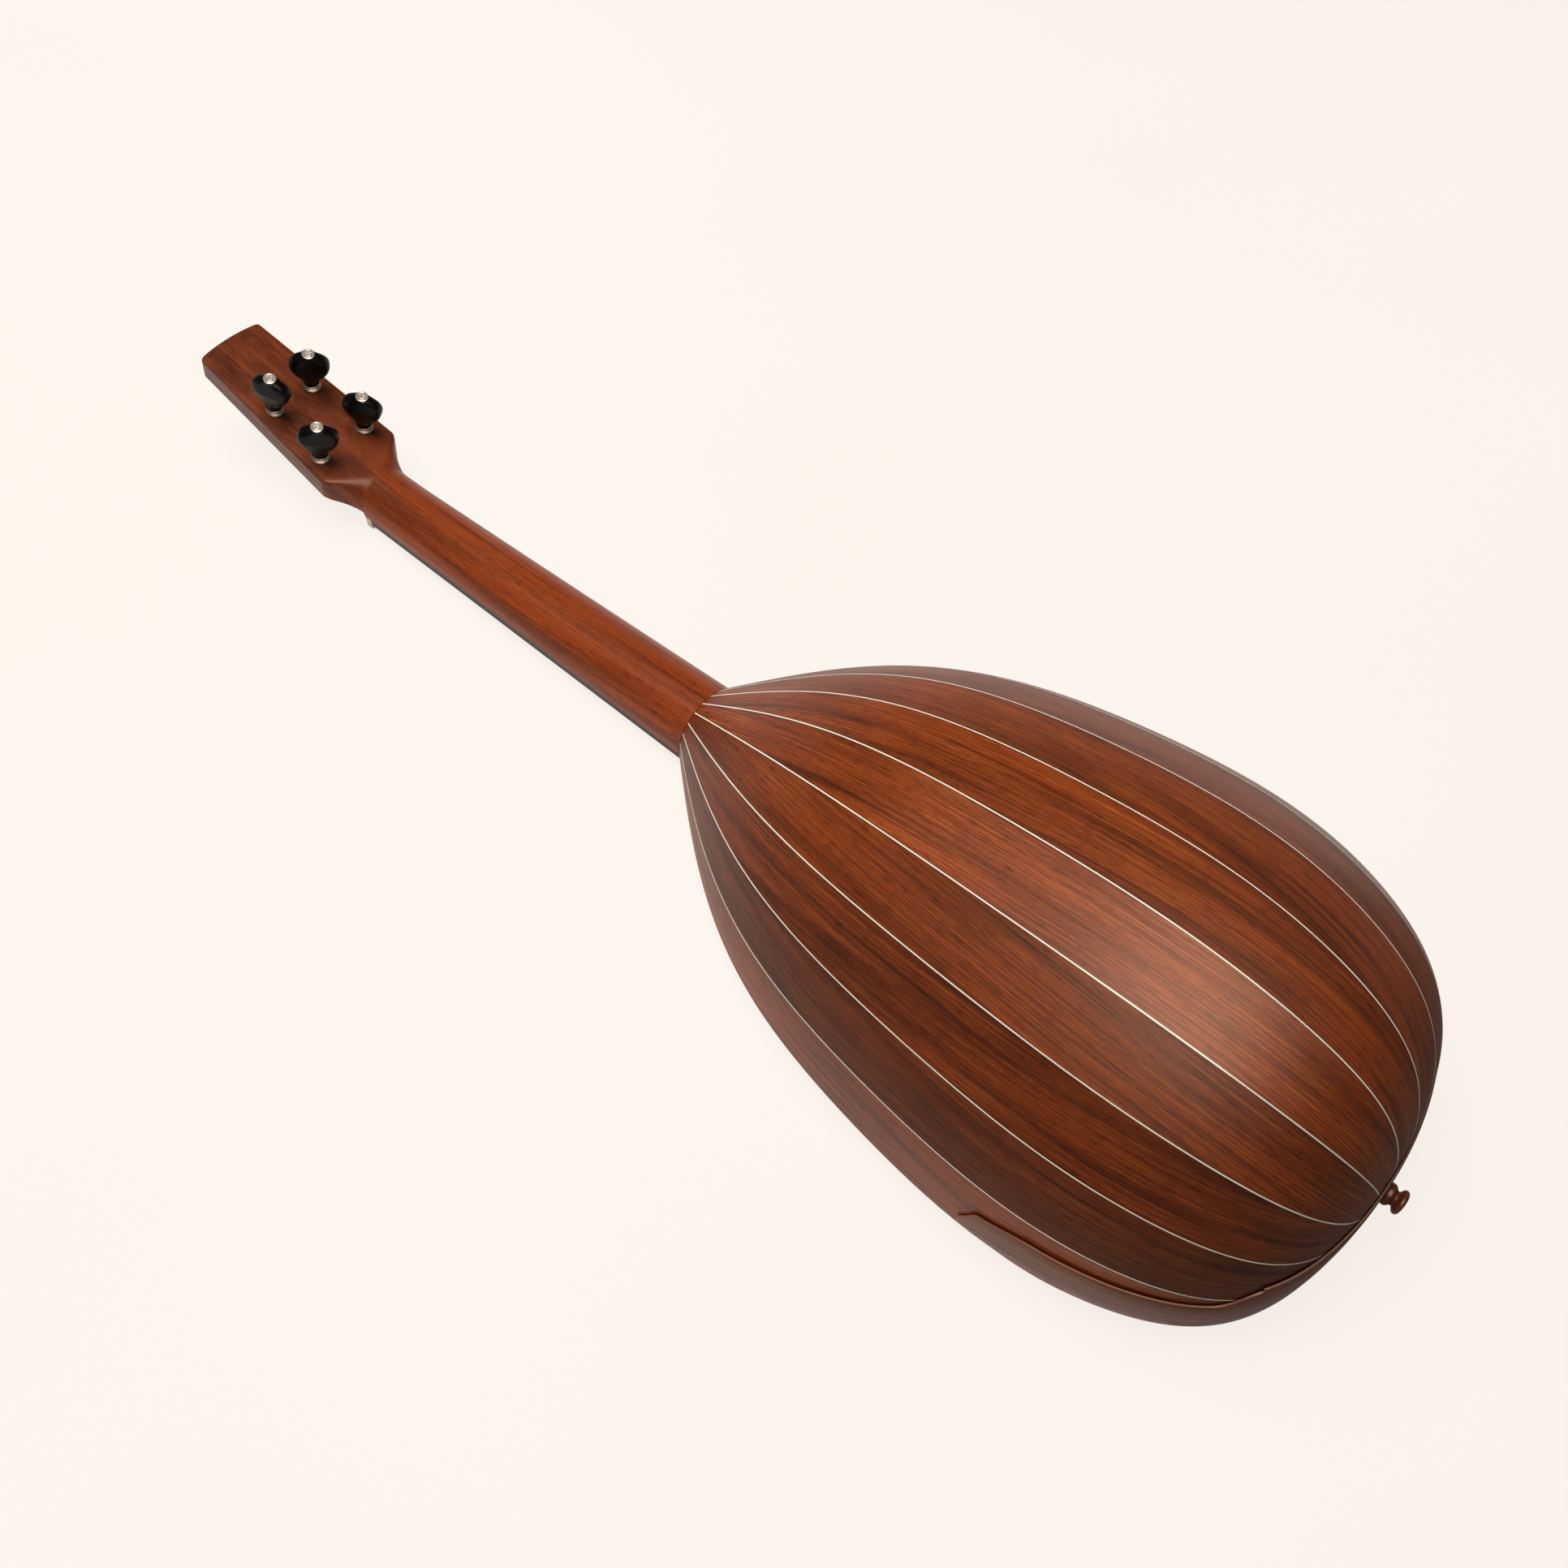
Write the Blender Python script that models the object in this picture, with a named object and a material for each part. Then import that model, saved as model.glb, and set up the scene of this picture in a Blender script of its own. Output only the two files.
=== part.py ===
# Short-necked, lute-backed four-string instrument lying on its strings, bowl upward.
# Instrument axes: X runs from the neck joint (0) to the tail, Y across, Z from the front to the bowl.
# Z = 0 is the inside face of the soundboard. All lengths are in metres.
import math

import bmesh
import bpy
from mathutils import Vector

# Bowl
BODY_LENGTH = 0.370
BODY_HALF_WIDTH = 0.1205
WIDEST_AT = 0.2430
JOINT_HALF_WIDTH = 0.0213
OUTLINE_WAVES = (0.931, 0.031, 0.078, 0.014, 0.016, 0.004)
RIB_COUNT = 11
RIB_THICKNESS = 0.0022
RIB_CAMBER = 0.6
SEAM_LINE_WIDTH = 0.0012
GLUE_GAP = 0.00012
RIM_GAP = 0.0002
POLE_RADIUS = 0.0115
BODY_STATIONS = 24

# End clasp: the capping strip glued round the tail over the rib ends
CLASP_THICKNESS = 0.0010
CLASP_SEAT_GAP = 0.0004
CLASP_TIP_HEIGHT = 0.0070
CLASP_CORNER_HEIGHT = 0.0170
CLASP_SIDE_HEIGHT = 0.0225
CLASP_LIP_HEIGHT = 0.0292
CLASP_STEP_HEIGHT = 0.0312
CLASP_TAIL_HEIGHT = 0.0335
CLASP_SWEEP = math.radians(91.0)
CLASP_TIP_SWEEP = math.radians(3.5)
CLASP_EASE_SWEEP = math.radians(15.0)
CLASP_RISE_AT = math.radians(43.5)
CLASP_STEP_AT = math.radians(35.4)

# Soundboard and what sits on it
SOUNDBOARD_THICKNESS = 0.0025
SOUNDHOLE_AT = 0.092
SOUNDHOLE_RADIUS = 0.029
SOUNDBOARD_SPOKES = 72
BRACE_WIDTH = 0.007
BRACE_HEIGHT = 0.008
BRACE_UPPER_AT = 0.140
BRACE_LOWER_AT = 0.255
BRACE_END_CLEARANCE = 0.007
BLOCK_CLEARANCE = 0.0045
NECK_BLOCK_LENGTH = 0.036
TAIL_BLOCK_LENGTH = 0.018
TAIL_BLOCK_RADIUS = 0.030
TAIL_BLOCK_INSET = 0.0046

# Scale, bridge, saddle and strings
SCALE_LENGTH = 0.430
NECK_LENGTH = 0.2329
BRIDGE_LENGTH = 0.092
BRIDGE_BLOCK_LENGTH = 0.064
BRIDGE_WIDTH = 0.021
BRIDGE_HEIGHT = 0.0068
BRIDGE_WING_HEIGHT = 0.0030
BRIDGE_CHANNEL = 0.0045
BRIDGE_TIE_WALL = 0.0022
SADDLE_LENGTH = 0.060
SADDLE_THICKNESS = 0.0030
SADDLE_SLOT_DEPTH = 0.0035
SADDLE_PROUD = 0.0034
STRING_RADIUS = 0.00038
STRING_NOTCH_WIDTH = 0.0012
STRING_NOTCH_DEPTH = 0.0009
STRING_PITCH_NUT = 0.0085
STRING_PITCH_SADDLE = 0.0135
STRING_SEAT_GAP = 0.00008
FIT_GAP = 0.00015

# Neck, fingerboard and nut
NUT_HALF_WIDTH = 0.0164
NECK_DEPTH_NUT = 0.0138
NECK_HEEL_POWER = 1.5
FINGERBOARD_THICKNESS = 0.0040
FINGERBOARD_OVERHANG = 0.026
FRET_COUNT = 15
FRET_HEIGHT = 0.0009
FRET_WIDTH = 0.0018
NUT_THICKNESS = 0.0045
NUT_HEIGHT_ABOVE_BOARD = 0.0028
PART_GAP = 0.0003

# Headstock
HEADSTOCK_TILT = math.radians(14.0)
HEADSTOCK_RISE = 0.0038
HEADSTOCK_LENGTH = 0.1222
HEADSTOCK_THICKNESS = 0.0137
HEADSTOCK_SHOULDER_AT = 0.0196
HEADSTOCK_SHOULDER_HALF = 0.0258
HEADSTOCK_SHOULDER_ROUND = 0.0030
HEADSTOCK_SWEEP_POWER = 2.1
HEADSTOCK_TIP_HALF = 0.0202
HEADSTOCK_CORNER_RADIUS = 0.0016
HEADSTOCK_TIP_BOW = 0.0016
VENEER_THICKNESS = 0.0020
VENEER_MARGIN = 0.0005

# Pegs
PEG_TIP_AT = 0.0717
PEG_TIP_HALF_PITCH = 0.0131
PEG_NUT_AT = 0.0332
PEG_NUT_HALF_PITCH = 0.0156
PEG_POST_RADIUS = 0.0030
PEG_HOLE_RADIUS = 0.0034
PEG_POST_PROUD = 0.0130
COLLAR_RADIUS = 0.0056
COLLAR_STEP_RADIUS = 0.0047
COLLAR_HEIGHT = 0.0042
BUSHING_RADIUS = 0.0050
BUSHING_HEIGHT = 0.0014
BUTTON_HEIGHT = 0.0215
BUTTON_HALF_WIDTH = 0.0119
BUTTON_HALF_THICKNESS = 0.0050
BUTTON_NECK_RADIUS = 0.0041
BUTTON_TOP_RADIUS = 0.0042
SCREW_RADIUS = 0.0034
SCREW_HEIGHT = 0.0016
PEG_TURNS_DEG = {1: 48.0, 2: 20.0, 3: 30.0, 4: 50.0}

# End button
END_BUTTON_LENGTH = 0.0086
END_BUTTON_HEIGHT = 0.0108
END_BUTTON_BASE_RADIUS = 0.0052
END_BUTTON_WAIST_RADIUS = 0.0034
END_BUTTON_HEAD_RADIUS = 0.0057
END_BUTTON_FACE_RADIUS = 0.0040
END_BUTTON_GAP = 0.0003

FRONT_Z = -SOUNDBOARD_THICKNESS
HEAD_Z = FRONT_Z + HEADSTOCK_RISE
BOARD_BACK_Z = FRONT_Z - FIT_GAP
BOARD_FRONT_Z = BOARD_BACK_Z - FINGERBOARD_THICKNESS
NUT_X = -NECK_LENGTH
SADDLE_X = NUT_X + SCALE_LENGTH
HEAD_X = NUT_X - NUT_THICKNESS - PART_GAP
BRIDGE_BACK_Z = FRONT_Z - FIT_GAP
BRIDGE_FRONT_Z = BRIDGE_BACK_Z - BRIDGE_HEIGHT
SADDLE_FRONT_Z = BRIDGE_FRONT_Z - SADDLE_PROUD
NUT_FRONT_Z = BOARD_FRONT_Z - NUT_HEIGHT_ABOVE_BOARD
STRING_SADDLE_Z = SADDLE_FRONT_Z + STRING_NOTCH_DEPTH - STRING_RADIUS - STRING_SEAT_GAP
STRING_NUT_Z = NUT_FRONT_Z + STRING_NOTCH_DEPTH - STRING_RADIUS - STRING_SEAT_GAP


def clear_scene():
    for old in list(bpy.data.objects):
        bpy.data.objects.remove(old, do_unlink=True)


def linear(code):
    values = []
    for i in (1, 3, 5):
        c = int(code[i:i + 2], 16) / 255.0
        values.append(c / 12.92 if c <= 0.04045 else ((c + 0.055) / 1.055) ** 2.4)
    return (values[0], values[1], values[2], 1.0)


def material(name, code, roughness, metallic=0.0):
    mat = bpy.data.materials.new(name)
    mat.use_nodes = True
    shader = mat.node_tree.nodes["Principled BSDF"]
    shader.inputs["Base Color"].default_value = linear(code)
    shader.inputs["Roughness"].default_value = roughness
    shader.inputs["Metallic"].default_value = metallic
    mat.diffuse_color = linear(code)
    return mat


def empty(name, location=(0, 0, 0), rotation=(0, 0, 0), parent=None):
    item = bpy.data.objects.new(name, None)
    item.location = location
    item.rotation_euler = rotation
    item.parent = parent
    bpy.context.scene.collection.objects.link(item)
    return item


def finish(name, bm, mat, parent, smooth=False):
    bmesh.ops.recalc_face_normals(bm, faces=bm.faces)
    mesh = bpy.data.meshes.new(name)
    bm.to_mesh(mesh)
    bm.free()
    if smooth:
        mesh.shade_smooth()
    mesh.materials.append(mat)
    item = bpy.data.objects.new(name, mesh)
    item.parent = parent
    bpy.context.scene.collection.objects.link(item)
    return item


def loft(name, rings, mat, parent, smooth=False, closed=False):
    # Skin a row of equal rings into one closed body, capped at both ends unless it closes on itself.
    bm = bmesh.new()
    rows = [[bm.verts.new(p) for p in ring] for ring in rings]
    count = len(rows)
    for i in range(count if closed else count - 1):
        a = rows[i]
        b = rows[(i + 1) % count]
        for j in range(len(a)):
            k = (j + 1) % len(a)
            bm.faces.new((a[j], a[k], b[k], b[j]))
    if not closed:
        bm.faces.new(rows[0])
        bm.faces.new(rows[-1])
    return finish(name, bm, mat, parent, smooth)


def turned(name, profile, mat, parent, steps=24, smooth=True):
    # Revolve (radius, height) points about local Z; a ring closes on itself, a solid one starts at 0.
    bm = bmesh.new()
    rows = []
    for radius, height in profile:
        if radius == 0.0:
            rows.append([bm.verts.new((0, 0, height))])
        else:
            row = []
            for i in range(steps):
                a = 2 * math.pi * i / steps
                row.append(bm.verts.new((radius * math.cos(a), radius * math.sin(a), height)))
            rows.append(row)
    pairs = list(zip(rows, rows[1:]))
    if profile[0][0] != 0.0:
        pairs.append((rows[-1], rows[0]))
    for a, b in pairs:
        for i in range(steps):
            j = (i + 1) % steps
            if len(a) == 1:
                bm.faces.new((a[0], b[i], b[j]))
            elif len(b) == 1:
                bm.faces.new((a[i], a[j], b[0]))
            else:
                bm.faces.new((a[i], a[j], b[j], b[i]))
    item = finish(name, bm, mat, parent, smooth)
    return item


def outline_width(phase):
    # Half width at a phase of the outline, 0 at the neck joint and a quarter turn at the tail.
    total = JOINT_HALF_WIDTH * math.cos(phase)
    for i, wave in enumerate(OUTLINE_WAVES):
        total += BODY_HALF_WIDTH * wave * math.sin(2 * (i + 1) * phase)
    return total


def half_width(x):
    return outline_width(math.asin(min(max(x / BODY_LENGTH, 0.0), 1.0)))


def outline_stations():
    # (x, half width) pairs from the joint to the small pole where the ribs meet under the clasp.
    low = math.pi / 4
    high = math.pi / 2
    for _ in range(50):
        pole = (low + high) / 2
        if outline_width(pole) > POLE_RADIUS:
            low = pole
        else:
            high = pole
    rows = []
    for i in range(BODY_STATIONS + 1):
        phase = pole * i / BODY_STATIONS
        rows.append((BODY_LENGTH * math.sin(phase), outline_width(phase)))
    return rows


def inner_stations(rows, depth):
    # The same stations moved in by a depth square to the outline.
    moved = []
    for i, (x, w) in enumerate(rows):
        before = rows[max(i - 1, 0)]
        after = rows[min(i + 1, len(rows) - 1)]
        dx = after[0] - before[0]
        dw = after[1] - before[1]
        size = math.hypot(dx, dw)
        moved.append((x + depth * dw / size, w - depth * dx / size))
    return moved


def seam_angle(k):
    return -math.pi / 2 + math.pi * k / RIB_COUNT


def section_point(radius, angle):
    return Vector((0.0, radius * math.sin(angle), RIM_GAP + radius * math.cos(angle)))


def rib_edge_points(x, radius, k, gap_a, gap_b):
    # One rib's face across the section: edge, cambered middle, edge.
    a = section_point(radius, seam_angle(k))
    b = section_point(radius, seam_angle(k + 1))
    along = (b - a).normalized()
    flat = (a + b) / 2
    arc = section_point(radius, (seam_angle(k) + seam_angle(k + 1)) / 2)
    middle = flat.lerp(arc, RIB_CAMBER)
    points = [a + along * gap_a, middle, b - along * gap_b]
    return [Vector((x, p.y, p.z)) for p in points]


def build_ribs(root, mat_rib, mat_line):
    outer = outline_stations()
    inner = inner_stations(outer, RIB_THICKNESS)
    gap = SEAM_LINE_WIDTH / 2 + GLUE_GAP
    for k in range(RIB_COUNT):
        gap_a = 0.0 if k == 0 else gap
        gap_b = 0.0 if k == RIB_COUNT - 1 else gap
        rings = []
        for (x, w), (xi, wi) in zip(outer, inner):
            face = rib_edge_points(x, w, k, gap_a, gap_b)
            back = rib_edge_points(xi, wi, k, gap_a, gap_b)
            rings.append(face + back[::-1])
        loft("rib_%d" % (k + 1), rings, mat_rib, root)
    half = SEAM_LINE_WIDTH / 2
    for k in range(1, RIB_COUNT):
        rings = []
        for (x, w), (xi, wi) in zip(outer, inner):
            ring = []
            for xs, ws, turn in ((x, w, 1), (xi, wi, -1)):
                v = section_point(ws, seam_angle(k))
                before = (section_point(ws, seam_angle(k - 1)) - v).normalized()
                after = (section_point(ws, seam_angle(k + 1)) - v).normalized()
                pair = [v + before * half, v + after * half][::turn]
                ring += [Vector((xs, p.y, p.z)) for p in pair]
            rings.append(ring)
        loft("rib_line_%d" % k, rings, mat_line, root)


def bowl_reach(angle, height):
    # Distance from the widest point's centre to the bowl's outside at this height, along a direction.
    low = 0.0
    high = BODY_LENGTH
    for _ in range(50):
        r = (low + high) / 2
        x = WIDEST_AT + r * math.cos(angle)
        y = r * math.sin(angle)
        inside = 0.0 <= x <= BODY_LENGTH and math.hypot(y, height) <= half_width(x)
        if inside:
            low = r
        else:
            high = r
    return low


def smooth(value):
    t = min(max(value, 0.0), 1.0)
    return t * t * (3 - 2 * t)


def clasp_height(angle):
    # Ogee tips at the sides, an even strip, then a swept lip and a small step up to the tail.
    size = abs(angle)
    if size <= CLASP_STEP_AT:
        return CLASP_TAIL_HEIGHT + (CLASP_STEP_HEIGHT - CLASP_TAIL_HEIGHT) * size / CLASP_STEP_AT
    left = CLASP_SWEEP - size
    height = CLASP_TIP_HEIGHT
    height += (CLASP_CORNER_HEIGHT - CLASP_TIP_HEIGHT) * smooth(left / CLASP_TIP_SWEEP)
    height += (CLASP_SIDE_HEIGHT - CLASP_CORNER_HEIGHT) * smooth(left / CLASP_EASE_SWEEP)
    rise = smooth((CLASP_RISE_AT - size) / (CLASP_RISE_AT - CLASP_STEP_AT))
    return height + (CLASP_LIP_HEIGHT - CLASP_SIDE_HEIGHT) * rise


def build_clasp(root, mat):
    step = math.radians(0.4)
    marks = [CLASP_STEP_AT * i / 12 for i in range(13)] + [CLASP_STEP_AT + step]
    span = CLASP_RISE_AT - CLASP_STEP_AT
    marks += [CLASP_STEP_AT + span * f for f in (0.25, 0.45, 0.65, 0.85, 1.0)]
    span = CLASP_SWEEP - CLASP_EASE_SWEEP - CLASP_RISE_AT
    marks += [CLASP_RISE_AT + span * i / 10 for i in range(1, 11)]
    marks += [CLASP_SWEEP - CLASP_EASE_SWEEP * f for f in (0.7, 0.45)]
    marks += [CLASP_SWEEP - CLASP_TIP_SWEEP * f for f in (1.0, 0.75, 0.5, 0.25, 0.0)]
    angles = [-a for a in reversed(marks[1:])] + marks
    rings = []
    for angle in angles:
        top = clasp_height(angle)
        levels = (RIM_GAP, top / 3, top * 2 / 3, top)
        seat = []
        skin = []
        for level in levels:
            reach = bowl_reach(angle, max(level - RIM_GAP, 0.0)) + CLASP_SEAT_GAP
            for row, r in ((seat, reach), (skin, reach + CLASP_THICKNESS)):
                row.append((WIDEST_AT + r * math.cos(angle), r * math.sin(angle), level))
        rings.append(seat + skin[::-1])
    return loft("end_clasp", rings, mat, root)


def build_soundboard(root, mat):
    def board_reach(angle):
        low = 0.0
        high = BODY_LENGTH
        for _ in range(50):
            r = (low + high) / 2
            x = SOUNDHOLE_AT + r * math.cos(angle)
            y = r * math.sin(angle)
            if PART_GAP <= x <= BODY_LENGTH and abs(y) <= half_width(x):
                low = r
            else:
                high = r
        return low

    rings = []
    for i in range(SOUNDBOARD_SPOKES):
        a = 2 * math.pi * i / SOUNDBOARD_SPOKES
        ring = []
        rim = board_reach(a)
        hole = SOUNDHOLE_RADIUS
        for r, z in ((hole, 0.0), (rim, 0.0), (rim, FRONT_Z), (hole, FRONT_Z)):
            ring.append((SOUNDHOLE_AT + r * math.cos(a), r * math.sin(a), z))
        rings.append(ring)
    return loft("soundboard", rings, mat, root, closed=True)


def half_disc(x, radius, base, steps=12):
    ring = []
    for i in range(steps + 1):
        a = math.pi * i / steps
        ring.append((x, radius * math.cos(a), base + (radius - base) * math.sin(a)))
    return ring


def build_inside(root, mat_block, mat_brace):
    base = RIM_GAP + PART_GAP
    rings = []
    for mark in (0.10, 0.25, 0.45, 0.70, 1.0):
        x = NECK_BLOCK_LENGTH * mark
        rings.append(half_disc(x, half_width(x) - BLOCK_CLEARANCE, base))
    loft("neck_block", rings, mat_block, root)
    tail = BODY_LENGTH - TAIL_BLOCK_INSET
    rings = [half_disc(x, TAIL_BLOCK_RADIUS, base) for x in (tail - TAIL_BLOCK_LENGTH, tail)]
    loft("tail_block", rings, mat_block, root)
    for name, at in (("brace_upper", BRACE_UPPER_AT), ("brace_lower", BRACE_LOWER_AT)):
        reach = half_width(at) - BRACE_END_CLEARANCE
        rings = []
        for y, tall in ((-reach, 0.4), (-reach * 0.8, 1.0), (reach * 0.8, 1.0), (reach, 0.4)):
            top = base + BRACE_HEIGHT * tall
            near = at - BRACE_WIDTH / 2
            far = at + BRACE_WIDTH / 2
            rings.append([(near, y, base), (far, y, base), (far, y, top), (near, y, top)])
        loft(name, rings, mat_brace, root)


def build_bridge(root, mat_bridge, mat_saddle):
    # Sections run along Y; the saddle slot and the tie block's channel cross the whole middle block.
    rear = BRIDGE_WIDTH * 0.62
    front = rear - BRIDGE_WIDTH
    slot = SADDLE_THICKNESS / 2 + FIT_GAP
    slot_z = BRIDGE_FRONT_Z + SADDLE_SLOT_DEPTH
    channel_z = BRIDGE_FRONT_Z + BRIDGE_HEIGHT * 0.45
    channel_a = slot + BRIDGE_TIE_WALL
    channel_b = channel_a + BRIDGE_CHANNEL
    wing_z = BRIDGE_BACK_Z - BRIDGE_WING_HEIGHT
    bevel = 0.0012

    def section(y):
        pairs = [(front, BRIDGE_BACK_Z), (front, wing_z), (front, BRIDGE_FRONT_Z + bevel)]
        pairs += [(front + bevel, BRIDGE_FRONT_Z), (-slot, BRIDGE_FRONT_Z), (-slot, slot_z)]
        pairs += [(slot, slot_z), (slot, BRIDGE_FRONT_Z)]
        pairs += [(channel_a, BRIDGE_FRONT_Z), (channel_a, channel_z)]
        pairs += [(channel_b, channel_z), (channel_b, BRIDGE_FRONT_Z), (rear - bevel, BRIDGE_FRONT_Z)]
        pairs += [(rear, BRIDGE_FRONT_Z + bevel), (rear, wing_z), (rear, BRIDGE_BACK_Z)]
        return [(SADDLE_X + dx, y, z) for dx, z in pairs]

    bm = bmesh.new()
    rows = []
    for y in (-BRIDGE_BLOCK_LENGTH / 2, BRIDGE_BLOCK_LENGTH / 2):
        rows.append([bm.verts.new(p) for p in section(y)])
    for j in range(len(rows[0])):
        k = (j + 1) % len(rows[0])
        bm.faces.new((rows[0][j], rows[0][k], rows[1][k], rows[1][j]))
    # Each wing runs out from the block's lower corners; the block's end wall closes above it.
    corners = ((front, BRIDGE_BACK_Z), (front, wing_z), (rear, wing_z), (rear, BRIDGE_BACK_Z))
    for side, row in ((-1, rows[0]), (1, rows[1])):
        tip = [bm.verts.new((SADDLE_X + dx * 0.85, side * BRIDGE_LENGTH / 2, z)) for dx, z in corners]
        foot = [row[0], row[1], row[-2], row[-1]]
        for j in range(4):
            k = (j + 1) % 4
            bm.faces.new((foot[j], foot[k], tip[k], tip[j]))
        bm.faces.new(tip)
        bm.faces.new(row[1:-1])
    item = finish("bridge", bm, mat_bridge, root)
    comb("saddle", SADDLE_X, SADDLE_THICKNESS, SADDLE_LENGTH, slot_z - FIT_GAP, SADDLE_FRONT_Z,
         STRING_PITCH_SADDLE, mat_saddle, root)
    return item


def comb(name, x, thickness, length, back_z, front_z, pitch, mat, parent):
    # A bone slip standing across the strings with a notch for each string in its front edge.
    points = [(-length / 2, back_z), (-length / 2, front_z)]
    half = STRING_NOTCH_WIDTH / 2
    for i in range(4):
        y = (i - 1.5) * pitch
        points += [(y - half, front_z), (y - half, front_z + STRING_NOTCH_DEPTH)]
        points += [(y + half, front_z + STRING_NOTCH_DEPTH), (y + half, front_z)]
    points += [(length / 2, front_z), (length / 2, back_z)]
    rings = []
    for dx in (-thickness / 2, thickness / 2):
        rings.append([(x + dx, y, z) for y, z in points])
    return loft(name, rings, mat, parent)


def neck_half_width(x):
    q = -x / NECK_LENGTH
    return JOINT_HALF_WIDTH + (NUT_HALF_WIDTH - JOINT_HALF_WIDTH) * q


def neck_depth(x):
    q = min(max(-x / NECK_LENGTH, 0.0), 1.0)
    return NECK_DEPTH_NUT + (JOINT_HALF_WIDTH - NECK_DEPTH_NUT) * (1 - q) ** NECK_HEEL_POWER


def neck_ring(x, steps=18):
    w = neck_half_width(x)
    ring = [(x, w, FRONT_Z)]
    for i in range(steps + 1):
        a = math.pi * i / steps
        ring.append((x, w * math.cos(a), neck_depth(x) * math.sin(a)))
    ring.append((x, -w, FRONT_Z))
    return ring


def build_neck(root, mat_neck, mat_board, mat_nut):
    count = 12
    start = -PART_GAP
    rings = []
    for i in range(count + 1):
        x = start + (HEAD_X - start) * (i / count)
        rings.append(neck_ring(x))
    neck = loft("neck", rings, mat_neck, root, smooth=False)
    # Fingerboard side profile with the fret crowns standing from its front face.
    points = [(NUT_X + FIT_GAP, BOARD_BACK_Z), (NUT_X + FIT_GAP, BOARD_FRONT_Z)]
    half = FRET_WIDTH / 2
    for k in range(1, FRET_COUNT + 1):
        x = NUT_X + SCALE_LENGTH * (1 - 2 ** (-k / 12))
        points += [(x - half, BOARD_FRONT_Z), (x - half / 2, BOARD_FRONT_Z - FRET_HEIGHT)]
        points += [(x + half / 2, BOARD_FRONT_Z - FRET_HEIGHT), (x + half, BOARD_FRONT_Z)]
    points += [(FINGERBOARD_OVERHANG, BOARD_FRONT_Z), (FINGERBOARD_OVERHANG, BOARD_BACK_Z)]
    rings = []
    for side in (-1, 1):
        rings.append([(x, side * neck_half_width(x), z) for x, z in points])
    loft("fingerboard", rings, mat_board, root)
    comb("nut", NUT_X - NUT_THICKNESS / 2, NUT_THICKNESS, 2 * NUT_HALF_WIDTH, BOARD_BACK_Z, NUT_FRONT_Z,
         STRING_PITCH_NUT, mat_nut, root)
    return neck


def head_half_width(u):
    # Concave sweep out from the nut, a rounded shoulder, then straight sides drawing in to the tip.
    base = neck_half_width(HEAD_X)
    t = (u - HEADSTOCK_SHOULDER_AT) / (HEADSTOCK_LENGTH - HEADSTOCK_SHOULDER_AT)
    straight = HEADSTOCK_SHOULDER_HALF + (HEADSTOCK_TIP_HALF - HEADSTOCK_SHOULDER_HALF) * t
    rise = (u / HEADSTOCK_SHOULDER_AT) ** HEADSTOCK_SWEEP_POWER
    sweep = base + (HEADSTOCK_SHOULDER_HALF - base) * rise
    near = max(HEADSTOCK_SHOULDER_ROUND - abs(sweep - straight), 0.0) / HEADSTOCK_SHOULDER_ROUND
    side = min(sweep, straight) - near * near * HEADSTOCK_SHOULDER_ROUND / 4
    left = HEADSTOCK_CORNER_RADIUS - (HEADSTOCK_LENGTH - u)
    if left > 0.0:
        kept = max(HEADSTOCK_CORNER_RADIUS ** 2 - left ** 2, 0.0)
        side -= HEADSTOCK_CORNER_RADIUS - math.sqrt(kept)
    return side


def head_stations():
    rows = [HEADSTOCK_SHOULDER_AT * i / 12 for i in range(15)]
    span = HEADSTOCK_LENGTH - HEADSTOCK_SHOULDER_AT
    rows += [HEADSTOCK_SHOULDER_AT + span * f for f in (0.3, 0.6, 0.85)]
    rows += [HEADSTOCK_LENGTH - HEADSTOCK_CORNER_RADIUS * f for f in (1.0, 0.6, 0.3, 0.1, 0.0)]
    return rows


def head_ring(u, steps=20):
    # Round like the neck where it leaves the nut, squared off by the shoulder.
    blend = min(u / HEADSTOCK_SHOULDER_AT, 1.0)
    power = 2.0 + 20.0 * blend ** 2
    skew = math.tan(HEADSTOCK_TILT) * max(0.0, 1.0 - u / HEADSTOCK_SHOULDER_AT)
    low = VENEER_THICKNESS + FIT_GAP
    start_tall = (neck_depth(HEAD_X) - HEAD_Z) / math.cos(HEADSTOCK_TILT)
    tall = start_tall + (HEADSTOCK_THICKNESS - start_tall) * (0.5 - 0.5 * math.cos(math.pi * blend))
    w = head_half_width(u)
    bow = HEADSTOCK_TIP_BOW * max(0.0, (u - HEADSTOCK_LENGTH / 2) / (HEADSTOCK_LENGTH / 2)) ** 2
    side_top = low + (tall - low) * (0.14 * (1 - blend))
    ring = []
    for i in range(-1, steps + 2):
        a = math.pi * min(max(i, 0), steps) / steps
        c = math.cos(a)
        v = w * math.copysign(abs(c) ** (2 / power), c)
        n = side_top + (tall - side_top) * abs(math.sin(a)) ** (2 / power)
        if i in (-1, steps + 1):
            n = low
        along = u + PART_GAP + n * skew + bow * (1 - (v / w) ** 2)
        ring.append((-along, v, n))
    return ring


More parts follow.
